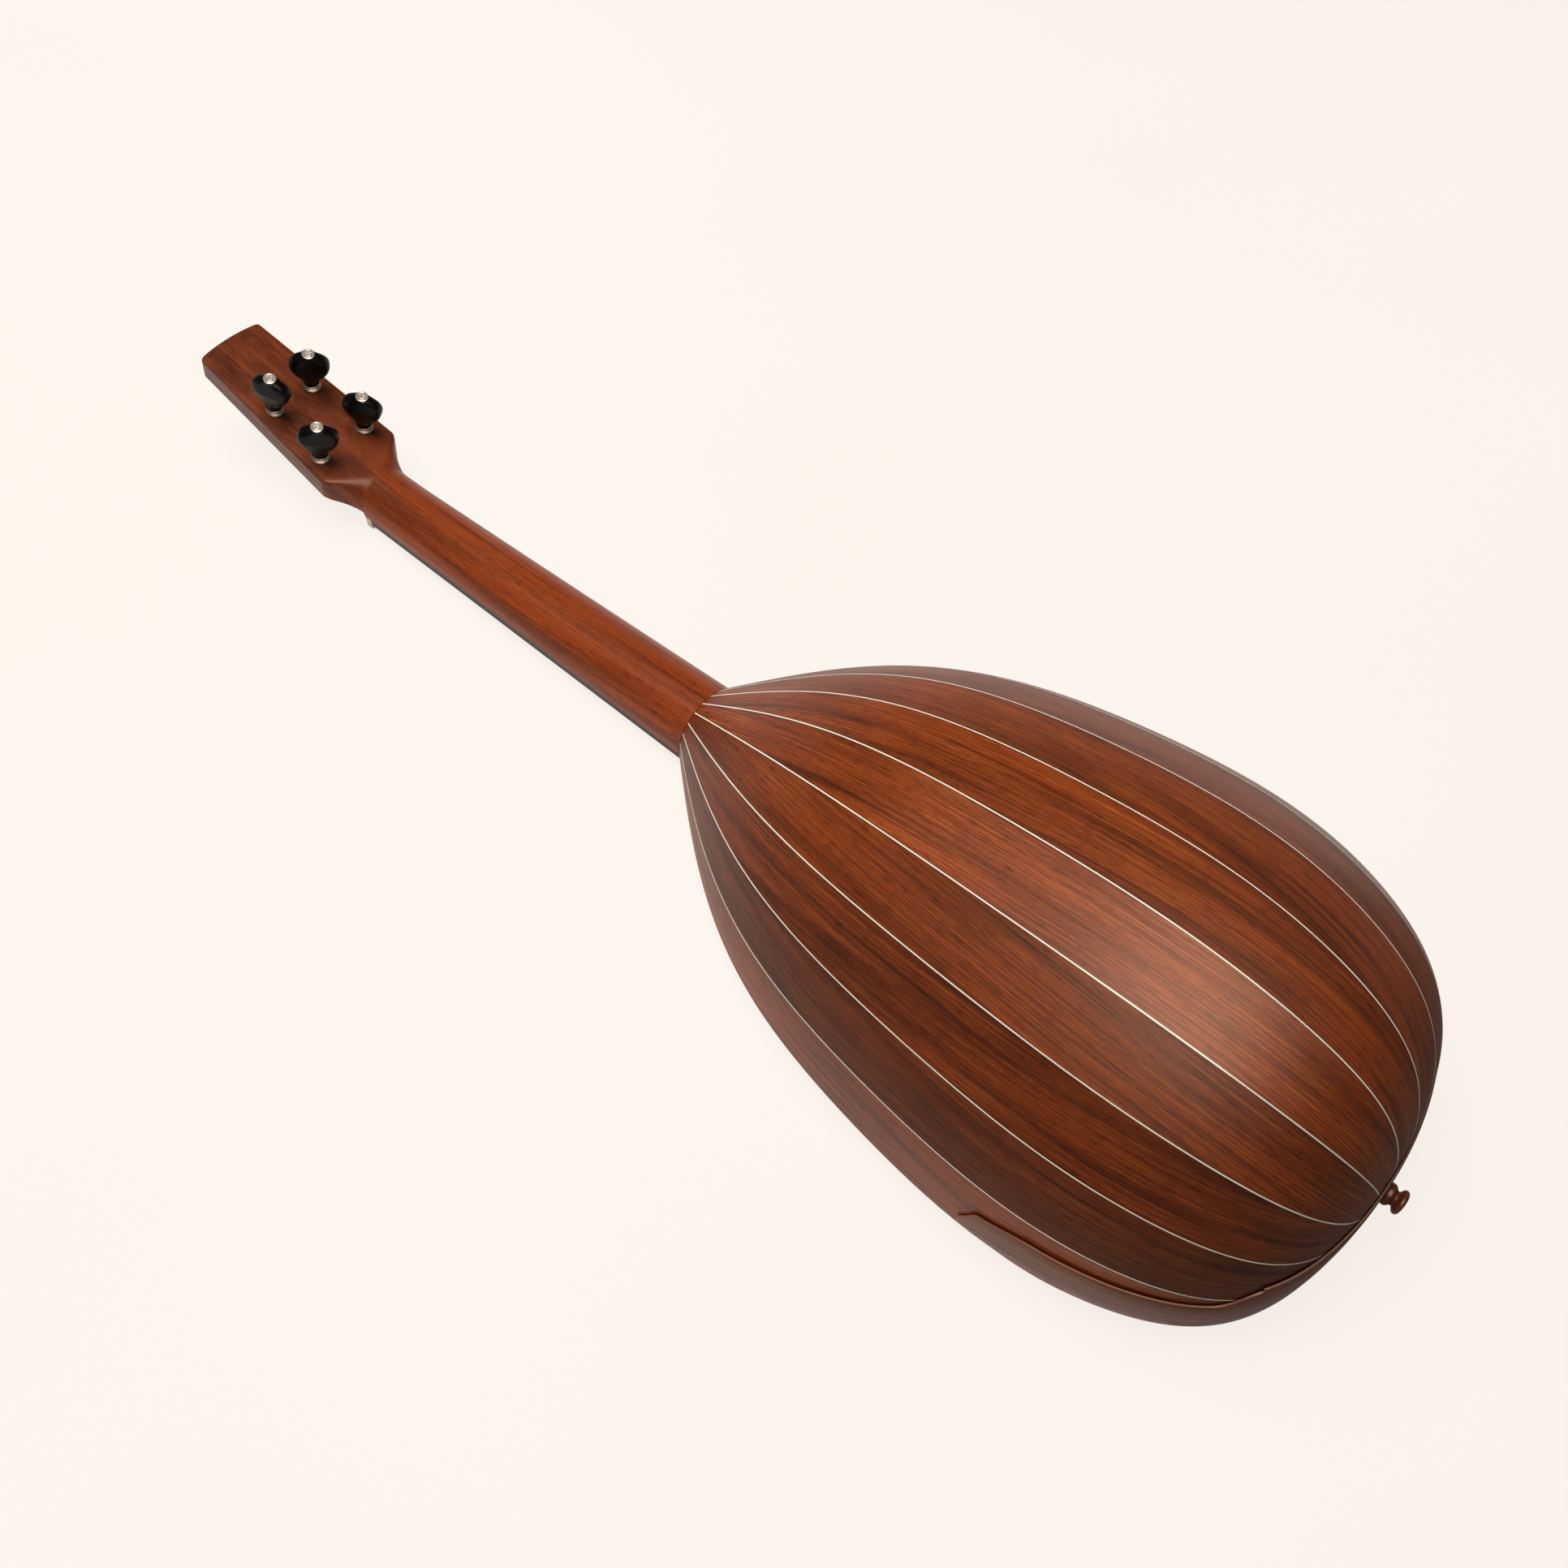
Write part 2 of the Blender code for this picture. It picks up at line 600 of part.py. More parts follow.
def build_headstock(frame, mat_head, mat_veneer):
    head = loft("headstock", [head_ring(u) for u in head_stations()], mat_head, frame)
    rings = []
    for u in head_stations():
        w = head_half_width(u) + VENEER_MARGIN * min(u / HEADSTOCK_SHOULDER_AT, 1.0)
        bow = HEADSTOCK_TIP_BOW * max(0.0, (u - HEADSTOCK_LENGTH / 2) / (HEADSTOCK_LENGTH / 2)) ** 2
        ring = []
        along = u * (1 + VENEER_MARGIN / HEADSTOCK_LENGTH)
        along += 4 * PART_GAP * max(0.0, 1 - u / HEADSTOCK_SHOULDER_AT)
        for f, n in ((1, 0.0), (0.5, 0.0), (0, 0.0), (-0.5, 0.0), (-1, 0.0)):
            ring.append((-(along + PART_GAP + bow * (1 - f * f)), w * f, n))
        for f in (-1, -0.5, 0, 0.5, 1):
            ring.append((-(along + PART_GAP + bow * (1 - f * f)), w * f, VENEER_THICKNESS))
        rings.append(ring)
    veneer = loft("headstock_veneer", rings, mat_veneer, frame)
    # One cutter drills all four peg holes through both layers.
    bm = bmesh.new()
    for u, v in peg_places().values():
        drill = bmesh.ops.create_cone(bm, cap_ends=True, segments=28, radius1=PEG_HOLE_RADIUS,
                                      radius2=PEG_HOLE_RADIUS, depth=3 * HEADSTOCK_THICKNESS)
        bmesh.ops.translate(bm, verts=drill["verts"], vec=(-u, v, HEADSTOCK_THICKNESS / 2))
    cutter = finish("peg_hole_cutter", bm, mat_head, frame)
    cutter.hide_render = True
    cutter.display_type = "WIRE"
    for item in (head, veneer):
        cut = item.modifiers.new("peg_holes", "BOOLEAN")
        cut.operation = "DIFFERENCE"
        cut.solver = "EXACT"
        cut.object = cutter


def peg_places():
    # Peg number to its place along and across the headstock.
    return {1: (PEG_TIP_AT, PEG_TIP_HALF_PITCH), 2: (PEG_TIP_AT, -PEG_TIP_HALF_PITCH),
            3: (PEG_NUT_AT, PEG_NUT_HALF_PITCH), 4: (PEG_NUT_AT, -PEG_NUT_HALF_PITCH)}


def build_pegs(frame, mat_button, mat_nickel, mat_screw):
    back = HEADSTOCK_THICKNESS
    for k, (u, v) in peg_places().items():
        still = empty("peg_seat_%d" % k, (-u, v, 0.0), parent=frame)
        low = back + PART_GAP
        high = back + COLLAR_HEIGHT
        middle = back + COLLAR_HEIGHT * 0.45
        profile = [(PEG_HOLE_RADIUS, low), (COLLAR_RADIUS, low), (COLLAR_RADIUS, middle - 0.0004)]
        profile += [(COLLAR_RADIUS - 0.0004, middle), (COLLAR_STEP_RADIUS, middle)]
        profile += [(COLLAR_STEP_RADIUS, high - 0.0004), (COLLAR_STEP_RADIUS - 0.0004, high)]
        profile += [(PEG_HOLE_RADIUS, high)]
        turned("peg_%d_collar" % k, profile, mat_nickel, still, steps=16)
        low = -PART_GAP - BUSHING_HEIGHT
        profile = [(PEG_HOLE_RADIUS, -PART_GAP), (BUSHING_RADIUS, -PART_GAP)]
        profile += [(BUSHING_RADIUS - 0.0004, low), (PEG_HOLE_RADIUS, low)]
        turned("peg_%d_bushing" % k, profile, mat_nickel, still, steps=12)
        axle = empty("peg_axis_%d" % k, (-u, v, 0.0), (0, 0, math.radians(PEG_TURNS_DEG[k])), frame)
        end = -PEG_POST_PROUD
        top = back + COLLAR_HEIGHT
        profile = [(0.0, end), (PEG_POST_RADIUS - 0.0005, end), (PEG_POST_RADIUS, end + 0.0005)]
        profile += [(PEG_POST_RADIUS, end + 0.0035), (PEG_POST_RADIUS - 0.0005, end + 0.0045)]
        profile += [(PEG_POST_RADIUS - 0.0005, end + 0.0085), (PEG_POST_RADIUS, end + 0.0095)]
        profile += [(PEG_POST_RADIUS, top), (0.0, top)]
        turned("peg_%d_post" % k, profile, mat_nickel, axle, steps=12)
        base = top + PART_GAP
        rings = []
        wide = BUTTON_HALF_WIDTH
        thick = BUTTON_HALF_THICKNESS
        shape = ((0.0, BUTTON_NECK_RADIUS, BUTTON_NECK_RADIUS),
                 (0.11, BUTTON_NECK_RADIUS * 1.04, BUTTON_NECK_RADIUS * 1.02),
                 (0.22, wide * 0.52, thick * 0.90),
                 (0.36, wide * 0.82, thick),
                 (0.50, wide * 0.97, thick),
                 (0.61, wide, thick),
                 (0.74, wide * 0.95, thick * 0.97),
                 (0.86, wide * 0.79, thick * 0.93),
                 (0.95, wide * 0.58, thick * 0.90),
                 (1.0, BUTTON_TOP_RADIUS, BUTTON_TOP_RADIUS * 0.98))
        for f, a, b in shape:
            z = base + BUTTON_HEIGHT * f
            turns = [2 * math.pi * i / 20 for i in range(20)]
            rings.append([(a * math.cos(t), b * math.sin(t), z) for t in turns])
        loft("peg_%d_button" % k, rings, mat_button, axle, smooth=True)
        seat = base + BUTTON_HEIGHT + FIT_GAP
        profile = [(0.0, seat), (SCREW_RADIUS, seat), (SCREW_RADIUS, seat + SCREW_HEIGHT * 0.5)]
        profile += [(SCREW_RADIUS * 0.78, seat + SCREW_HEIGHT * 0.9)]
        profile += [(SCREW_RADIUS * 0.45, seat + SCREW_HEIGHT), (0.0, seat + SCREW_HEIGHT)]
        turned("peg_%d_screw" % k, profile, mat_screw, axle, steps=12)


def build_strings(root, mat):
    # Each string leaves the tie block, crosses saddle and nut in its notches and ends at its peg post.
    places = peg_places()
    sin_t = math.sin(HEADSTOCK_TILT)
    cos_t = math.cos(HEADSTOCK_TILT)
    slots = {1: -1.5, 2: -0.5, 3: 0.5, 4: 1.5}
    pegs = {1: 4, 2: 2, 3: 1, 4: 3}
    for k, slot in slots.items():
        u, v = places[pegs[k]]
        side = -math.copysign(1.0, v)
        n = -PEG_POST_PROUD + 0.0065
        wrap = v + side * (PEG_POST_RADIUS + STRING_RADIUS + PART_GAP)
        end = Vector((HEAD_X - u * cos_t + n * sin_t, wrap, HEAD_Z + u * sin_t + n * cos_t))
        y_nut = slot * STRING_PITCH_NUT
        y_saddle = slot * STRING_PITCH_SADDLE
        tie_x = SADDLE_X + SADDLE_THICKNESS / 2 + FIT_GAP + BRIDGE_TIE_WALL
        tie_x += BRIDGE_CHANNEL - 2 * PART_GAP
        tie = Vector((tie_x, y_saddle, BRIDGE_FRONT_Z + BRIDGE_HEIGHT * 0.25))
        lip = Vector((SADDLE_X + SADDLE_THICKNESS / 2 + 2 * PART_GAP, y_saddle, STRING_SADDLE_Z))
        path = [tie, lip]
        path.append(Vector((SADDLE_X - SADDLE_THICKNESS, y_saddle, STRING_SADDLE_Z)))
        path.append(Vector((NUT_X + 2 * PART_GAP, y_nut, STRING_NUT_Z)))
        path.append(Vector((NUT_X - NUT_THICKNESS - 2 * PART_GAP, y_nut, STRING_NUT_Z)))
        path.append(end)
        rings = []
        for i, p in enumerate(path):
            before = path[max(i - 1, 0)]
            after = path[min(i + 1, len(path) - 1)]
            along = (after - before).normalized()
            across = along.cross(Vector((0, 1, 0))).normalized()
            other = along.cross(across)
            ring = []
            for j in range(8):
                turn = math.pi * j / 4
                ring.append(p + STRING_RADIUS * (across * math.cos(turn) + other * math.sin(turn)))
            rings.append(ring)
        loft("string_%d" % k, rings, mat, root, smooth=True)


def build_end_button(root, mat):
    start = BODY_LENGTH + CLASP_SEAT_GAP + CLASP_THICKNESS + END_BUTTON_GAP
    seat = empty("end_button_seat", (start, 0, END_BUTTON_HEIGHT), (0, math.pi / 2, 0), root)
    b = END_BUTTON_BASE_RADIUS
    h = END_BUTTON_HEAD_RADIUS
    w = END_BUTTON_WAIST_RADIUS
    tall = END_BUTTON_LENGTH
    shape = ((b * 0.94, 0.0), (b, 0.10), (b, 0.26), (b * 0.88, 0.36), (w * 1.06, 0.45), (w, 0.54),
             (w * 1.15, 0.60), (h * 0.86, 0.66), (h, 0.75), (h, 0.86), (h * 0.90, 0.95))
    profile = [(0.0, 0.0)] + [(radius, tall * f) for radius, f in shape]
    profile += [(END_BUTTON_FACE_RADIUS, tall), (0.0, tall)]
    turned("end_button", profile, mat, seat, steps=28)


def settle(root):
    # Lay the whole instrument with its lowest point on Z = 0, centred over the origin.
    bpy.context.view_layer.update()
    low = Vector((1e9, 1e9, 1e9))
    high = -low
    for item in bpy.data.objects:
        if item.type != "MESH" or item.hide_render:
            continue
        for vert in item.data.vertices:
            p = item.matrix_world @ vert.co
            low = Vector(map(min, low, p))
            high = Vector(map(max, high, p))
    root.location = (-(low.x + high.x) / 2, -(low.y + high.y) / 2, -low.z)
    bpy.context.view_layer.update()


def build():
    clear_scene()
    root = empty("instrument")
    rosewood = material("rosewood_rib", "#6E3A1D", 0.34)
    maple = material("maple_line", "#EFE6DA", 0.45)
    mahogany = material("mahogany_neck", "#7E3A18", 0.36)
    dark = material("mahogany_headstock", "#6B3018", 0.38)
    clasp = material("walnut_clasp", "#6E4432", 0.40)
    spruce = material("spruce_board", "#D8B27A", 0.42)
    inside = material("spruce_brace", "#D9BE93", 0.70)
    block = material("mahogany_block", "#8A5A38", 0.72)
    ebony = material("ebony_board", "#2A2826", 0.42)
    veneer = material("rosewood_veneer", "#4A2A1C", 0.40)
    bone = material("bone_slip", "#DDD8C8", 0.40)
    bridge = material("rosewood_bridge", "#4E2C1C", 0.45)
    nylon = material("nylon_string", "#E4DFD2", 0.35)
    button = material("black_button", "#131313", 0.28)
    nickel = material("nickel_collar", "#A89C86", 0.28, 1.0)
    screw = material("nickel_screw", "#D2C7B6", 0.24, 1.0)
    turned_wood = material("rosewood_button", "#5A2A1E", 0.38)
    build_ribs(root, rosewood, maple)
    build_clasp(root, clasp)
    build_soundboard(root, spruce)
    build_inside(root, block, inside)
    build_bridge(root, bridge, bone)
    build_neck(root, mahogany, ebony, bone)
    frame = empty("headstock_frame", (HEAD_X, 0.0, HEAD_Z), (0.0, HEADSTOCK_TILT, 0.0), root)
    build_headstock(frame, dark, veneer)
    build_pegs(frame, button, nickel, screw)
    build_strings(root, nylon)
    build_end_button(root, turned_wood)
    settle(root)


build()
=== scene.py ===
import math

import bmesh
import bpy
from mathutils import Matrix, Vector


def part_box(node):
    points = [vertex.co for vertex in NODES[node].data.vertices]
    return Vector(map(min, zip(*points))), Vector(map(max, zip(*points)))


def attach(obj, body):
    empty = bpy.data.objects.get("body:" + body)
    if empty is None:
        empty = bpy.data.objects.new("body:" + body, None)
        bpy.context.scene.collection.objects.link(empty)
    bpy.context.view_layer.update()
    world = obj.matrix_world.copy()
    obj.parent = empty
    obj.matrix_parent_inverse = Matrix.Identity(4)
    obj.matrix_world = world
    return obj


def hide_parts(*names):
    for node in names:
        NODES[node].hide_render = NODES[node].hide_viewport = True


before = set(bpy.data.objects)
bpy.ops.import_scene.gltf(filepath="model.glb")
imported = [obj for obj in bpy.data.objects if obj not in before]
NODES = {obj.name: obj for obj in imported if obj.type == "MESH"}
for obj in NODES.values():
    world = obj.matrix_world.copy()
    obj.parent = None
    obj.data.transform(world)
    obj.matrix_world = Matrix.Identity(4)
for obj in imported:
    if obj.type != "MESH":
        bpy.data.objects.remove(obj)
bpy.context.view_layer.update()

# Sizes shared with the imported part, in metres
BODY_LENGTH = 0.370
BODY_HALF_WIDTH = 0.1205
WIDEST_AT = 0.2430
JOINT_HALF_WIDTH = 0.0213
OUTLINE_WAVES = (0.931, 0.031, 0.078, 0.014, 0.016, 0.004)
RIB_COUNT = 11
RIB_THICKNESS = 0.0022
RIB_CAMBER = 0.4
LINE_HALF = 0.0006
GLUE_GAP = 0.00012
RIM_GAP = 0.0002
POLE_RADIUS = 0.0115
PART_GAP = 0.0003
FIT_GAP = 0.00015
CLASP_THICKNESS = 0.0010
CLASP_SEAT_GAP = 0.0004
CLASP_HEIGHTS = (0.0070, 0.0170, 0.0225, 0.0292, 0.0312, 0.0335)
CLASP_SWEEP = math.radians(91.0)
CLASP_TIP_SWEEP = math.radians(3.5)
CLASP_EASE_SWEEP = math.radians(15.0)
CLASP_RISE_AT = math.radians(43.5)
CLASP_STEP_AT = math.radians(35.4)
SOUNDBOARD_THICKNESS = 0.0025
SOUNDHOLE_AT = 0.092
SOUNDHOLE_RADIUS = 0.029
BRIDGE_HEIGHT = 0.0068
SADDLE_PROUD = 0.0034
SCALE_LENGTH = 0.430
STRING_RADIUS = 0.00038
NECK_LENGTH = 0.2329
NUT_HALF_WIDTH = 0.0164
NECK_DEPTH_NUT = 0.0138
NECK_HEEL_POWER = 1.5
NUT_THICKNESS = 0.0045
FINGERBOARD_THICKNESS = 0.0040
FINGERBOARD_OVERHANG = 0.026
FRET_COUNT = 15
FRET_HEIGHT = 0.0009
FRET_HALF = 0.0009
TILT = math.radians(14.0)
HEAD_RISE = 0.0038
HEAD_LENGTH = 0.1222
HEAD_THICKNESS = 0.0137
SHOULDER_AT = 0.0196
SHOULDER_HALF = 0.0258
SHOULDER_ROUND = 0.0030
SWEEP_POWER = 2.1
TIP_HALF = 0.0202
CORNER_RADIUS = 0.0016
TIP_BOW = 0.0016
VENEER = 0.0020
POST_RADIUS = 0.0030
POST_PROUD = 0.0130
HOLE_RADIUS = 0.0034
COLLAR_RADIUS = 0.0056
COLLAR_STEP_RADIUS = 0.0047
COLLAR_HEIGHT = 0.0042
BUSHING_RADIUS = 0.0050
BUSHING_HEIGHT = 0.0014
BUTTON_HEIGHT = 0.0215
BUTTON_HALF_WIDTH = 0.0119
BUTTON_HALF_THICKNESS = 0.0050
BUTTON_TOP_RADIUS = 0.0042
SCREW_RADIUS = 0.0034
SCREW_HEIGHT = 0.0016
END_BUTTON_LENGTH = 0.0086
END_BUTTON_HEIGHT = 0.0108
END_BUTTON_BASE_RADIUS = 0.0052
END_BUTTON_WAIST_RADIUS = 0.0034
END_BUTTON_HEAD_RADIUS = 0.0057
END_BUTTON_FACE_RADIUS = 0.0040
FRONT_Z = -SOUNDBOARD_THICKNESS
HEAD_Z = FRONT_Z + HEAD_RISE
BOARD_BACK_Z = FRONT_Z - FIT_GAP
BOARD_FRONT_Z = BOARD_BACK_Z - FINGERBOARD_THICKNESS
SADDLE_FRONT_Z = FRONT_Z - FIT_GAP - BRIDGE_HEIGHT - SADDLE_PROUD
NUT_X = -NECK_LENGTH
SADDLE_X = NUT_X + SCALE_LENGTH
HEAD_X = NUT_X - NUT_THICKNESS - PART_GAP
# Peg number to its place along and across the headstock and its resting turn
PEGS = {1: (0.0717, 0.0131, 48.0), 2: (0.0717, -0.0131, 20.0),
        3: (0.0332, 0.0156, 30.0), 4: (0.0332, -0.0156, 50.0)}

# Finish sizes that only the looks have, in metres unless they are shares, powers or counts
LINE_PALE = 0.54
SEAM_GAP = 0.2 * GLUE_GAP
GRAIN_LEAN = 0.05
CLASP_EDGE = 0.0003
CLASP_TIP_SHARE = 0.3
CLASP_THIN_SWEEP = math.radians(20.0)
SOFT_ROUND = 1.2 * SHOULDER_ROUND
SOFT_AT = 0.94 * SHOULDER_AT
TOP_EASE = 0.004
HEAD_SQUARENESS = 20.0
HEAD_RUN_OUT = 1.4 * SHOULDER_AT
SIDE_LIFT = 0.14
BROWN_FROM = 0.215
BROWN_TO = 0.275
BOARD_EDGE = 0.0004
FRET_INSET = 0.0005
FRET_ROOT = 0.0003
HOLE_EDGE = 0.0004
BINDING = 0.0018
BINDING_EDGE = 0.0005
ROSETTE = ((0.0325, 0.0400, "#3A2014"), (0.0345, 0.0380, "#B98A55"), (0.0357, 0.0366, "#2A1810"))
BRIDGE_EDGE = 0.0004
BONE_EDGE = 0.00025
TURNED_CORE = 0.0002
BUTTON_WIDE = 0.90 * BUTTON_HALF_WIDTH
BUTTON_FOOT = 0.0045
BUTTON_THINNING = 0.0014
WING_SQUARENESS = 1.4
RIDGE_FROM = 0.15
RIDGE_AT = 0.57
RIDGE_FADE = 0.36
SCREW_CORE = 0.00002
SCREW_DOME = 0.45
DOME_POWER = 2.6
SCREW_RIM = 0.2
SCREW_TAPER = 0.96
GROOVE_DEPTH = 0.0007
GROOVE_AT = 0.70
GROOVE_WIDTH = 0.09
CROSS_DEPTH = 0.0006
CROSS_HALF = 0.00052
CROSS_SLOPE = 0.00028
CROSS_REACH = 0.52
CROSS_FADE = 0.16
POST_EDGE = 0.0005
POST_WAIST = POST_RADIUS - 0.0005
WAIST_FROM = 0.0038
WAIST_TO = 0.0094
WAIST_SLOPE = 0.0007
WINDING_AT = 0.0050
WINDING_LENGTH = 0.0033
WINDING_TURNS = 5
COLLAR_WIDE = 0.91 * COLLAR_RADIUS
COLLAR_NEAT = 0.94 * COLLAR_STEP_RADIUS
COLLAR_STEP_AT = 0.45
COLLAR_TAPER = 0.0002
COLLAR_EDGE = 0.00025
# Turned steps of a collar: inset from its width, and height above its foot, above its step or below its top
COLLAR_FOOT = ((0.0, 0.0), (0.0, 0.0007), (0.0004, 0.0009), (0.0, 0.0011))
COLLAR_NECK = ((0.0003, 0.0001), (0.0, 0.0005))
COLLAR_LIP = ((0.0, 0.0010), (0.0004, 0.0008), (0.0, 0.0005), (0.0003, 0.0))
BUSHING_EDGE = 0.0004
BUSHING_TAPER = 0.0002
END_BUTTON_EDGE = 0.0006
FLOOR_DROP = 0.0002

low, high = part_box("saddle")
SHIFT = Vector(((low.x + high.x) / 2 - SADDLE_X, 0.0, low.z - SADDLE_FRONT_Z))

# Colours and nodes
BLEND = {"data_type": "RGBA"}
MULTIPLY = {"data_type": "RGBA", "blend_type": "MULTIPLY"}


def srgb(code):
    values = []
    for i in (1, 3, 5):
        c = int(code[i:i + 2], 16) / 255.0
        values.append(c / 12.92 if c <= 0.04045 else ((c + 0.055) / 1.055) ** 2.4)
    return (values[0], values[1], values[2], 1.0)


def feed(tree, item, **inputs):
    # Links or sets a node's inputs, each given by its name or as i and its number.
    for key, value in inputs.items():
        socket = item.inputs[int(key[1:]) if key[1:].isdigit() else key.replace("_", " ")]
        if isinstance(value, bpy.types.NodeSocket):
            tree.links.new(value, socket)
        else:
            socket.default_value = value


def add(tree, kind, settings=None, stops=(), **inputs):
    # One shader node with its settings, its colour stops if it has any, and its inputs.
    item = tree.nodes.new("ShaderNode" + kind)
    for key, value in (settings or {}).items():
        setattr(item, key, value)
    elements = item.color_ramp.elements if stops else ()
    while len(elements) < len(stops):
        elements.new(0.5)
    for element, (place, code) in zip(elements, stops):
        element.position = place
        element.color = srgb(code) if isinstance(code, str) else (code, code, code, 1.0)
    feed(tree, item, **inputs)
    return item


def surface(name):
    mat = bpy.data.materials.new(name)
    mat.use_nodes = True
    tree = mat.node_tree
    return mat, tree, tree.nodes["Principled BSDF"]


def grain_space(tree, along, across, coords="UV"):
    # Texture space with so many repeats to the metre along and across the grain, which follows the piece's X.
    source = add(tree, "TexCoord").outputs[coords]
    return add(tree, "Mapping", Vector=source, Scale=(along, across, across)).outputs[0]


def wood_colour(tree, dark, middle, light, streak, broad, pore, coords="UV"):
    # Close streaks 70 mm long, with streak of them to the metre across; drifting bands ten times as wide
    # and 200 mm long; dark pores 0.4 mm wide and 8 mm long.
    lines = add(tree, "TexNoise", Vector=grain_space(tree, 14.0, streak, coords), Scale=1.0, Detail=7.0,
                Roughness=0.74, Distortion=0.25).outputs[0]
    colour = add(tree, "ValToRGB", stops=((0.32, dark), (0.50, middle), (0.68, light)), i0=lines).outputs[0]
    bands = add(tree, "TexNoise", Vector=grain_space(tree, 5.0, streak * 0.10, coords), Scale=1.0, Detail=4.0,
                Roughness=0.60, Distortion=0.6).outputs[0]
    shade = add(tree, "ValToRGB", stops=((0.32, 0.22), (0.50, 0.80), (0.68, 1.0)), i0=bands).outputs[0]
    colour = add(tree, "Mix", MULTIPLY, i0=broad, i6=colour, i7=shade).outputs[2]
    pores = add(tree, "TexNoise", Vector=grain_space(tree, 130.0, 2600.0, coords), Scale=1.0,
                Detail=2.0).outputs[0]
    holes = add(tree, "ValToRGB", stops=((0.33, 0.25), (0.46, 1.0)), i0=pores).outputs[0]
    return add(tree, "Mix", MULTIPLY, i0=pore, i6=colour, i7=holes).outputs[2], lines, pores


def wood_film(tree, shader, colour, lines, pores, rough, shine):
    # Satin lacquer, a little rougher over the dark streaks and sunk into the pores.
    film = add(tree, "ValToRGB", stops=((0.25, rough + 0.05), (0.75, rough - 0.03)), i0=lines).outputs[0]
    bump = add(tree, "Bump", Strength=0.05, Distance=0.0002, Height=pores).outputs[0]
    feed(tree, shader, Base_Color=colour, Roughness=film, Normal=bump, Specular_IOR_Level=shine)


def wood(name, dark, middle, light, streak, rough, pore=0.5, broad=0.4, coords="UV", shine=0.4, toned=False):
    # A planed hardwood under a satin film. A toned one has each piece's own lightness, which on the ribs is
    # plank tone with painted reflection and painted highlight, and clouds 22 by 90 mm.
    mat, tree, shader = surface(name)
    colour, lines, pores = wood_colour(tree, dark, middle, light, streak, broad, pore, coords)
    if toned:
        # Lightness per piece: plank tone, with painted reflection and painted highlight on some ribs
        plank_tone_and_sheen = add(tree, "Attribute", {"attribute_name": "tone"}).outputs["Fac"]
        colour = add(tree, "Mix", MULTIPLY, i0=1.0, i6=colour, i7=plank_tone_and_sheen).outputs[2]
        clouds = add(tree, "TexNoise", Vector=grain_space(tree, 11.0, 45.0, coords), Scale=1.0, Detail=3.0,
                     Roughness=0.55, Distortion=0.5).outputs[0]
        shade = add(tree, "ValToRGB", stops=((0.36, 0.45), (0.56, 1.0)), i0=clouds).outputs[0]
        colour = add(tree, "Mix", MULTIPLY, i0=0.5, i6=colour, i7=shade).outputs[2]
    wood_film(tree, shader, colour, lines, pores, rough, shine)
    return mat


def neck_wood(name):
    # One run of mahogany: warm red along the neck, browner past the nut, with blotches 9 by 22 mm.
    mat, tree, shader = surface(name)
    red, lines, pores = wood_colour(tree, "#7C2D10", "#9A461E", "#B05B2A", 1100.0, 0.75, 0.7)
    brown = wood_colour(tree, "#63260F", "#7C3A1C", "#8E4A25", 900.0, 0.45, 0.35)[0]
    clouds = add(tree, "TexNoise", Vector=grain_space(tree, 45.0, 110.0), Scale=1.0, Detail=5.0,
                 Roughness=0.62, Distortion=1.2).outputs[0]
    shade = add(tree, "ValToRGB", stops=((0.36, 0.38), (0.58, 1.0)), i0=clouds).outputs[0]
    brown = add(tree, "Mix", MULTIPLY, i0=0.75, i6=brown, i7=shade).outputs[2]
    along = add(tree, "SeparateXYZ", Vector=add(tree, "TexCoord").outputs["UV"]).outputs[0]
    past = add(tree, "MapRange", Value=along, From_Min=BROWN_FROM, From_Max=BROWN_TO).outputs[0]
    colour = add(tree, "Mix", BLEND, i0=past, i6=red, i7=brown).outputs[2]
    wood_film(tree, shader, colour, lines, pores, 0.38, 0.28)
    return mat


def line_wood(name):
    # Maple stringing with flecks 0.4 by 17 mm, between two thin black edge lines.
    mat, tree, shader = surface(name)
    across = add(tree, "SeparateXYZ", Vector=add(tree, "TexCoord").outputs["UV"]).outputs[1]
    size = add(tree, "Math", {"operation": "ABSOLUTE"}, i0=across).outputs[0]
    edge = add(tree, "Math", {"operation": "GREATER_THAN"}, i0=size, i1=LINE_HALF * LINE_PALE).outputs[0]
    fleck = add(tree, "TexNoise", Vector=grain_space(tree, 60.0, 2500.0), Scale=1.0, Detail=3.0).outputs[0]
    pale = add(tree, "ValToRGB", stops=((0.3, "#EFE7DE"), (0.6, "#FBF6EF")), i0=fleck).outputs[0]
    colour = add(tree, "Mix", BLEND, i0=edge, i6=pale, i7=srgb("#2A1810")).outputs[2]
    feed(tree, shader, Base_Color=colour, Roughness=0.36, Coat_Weight=0.2)
    return mat


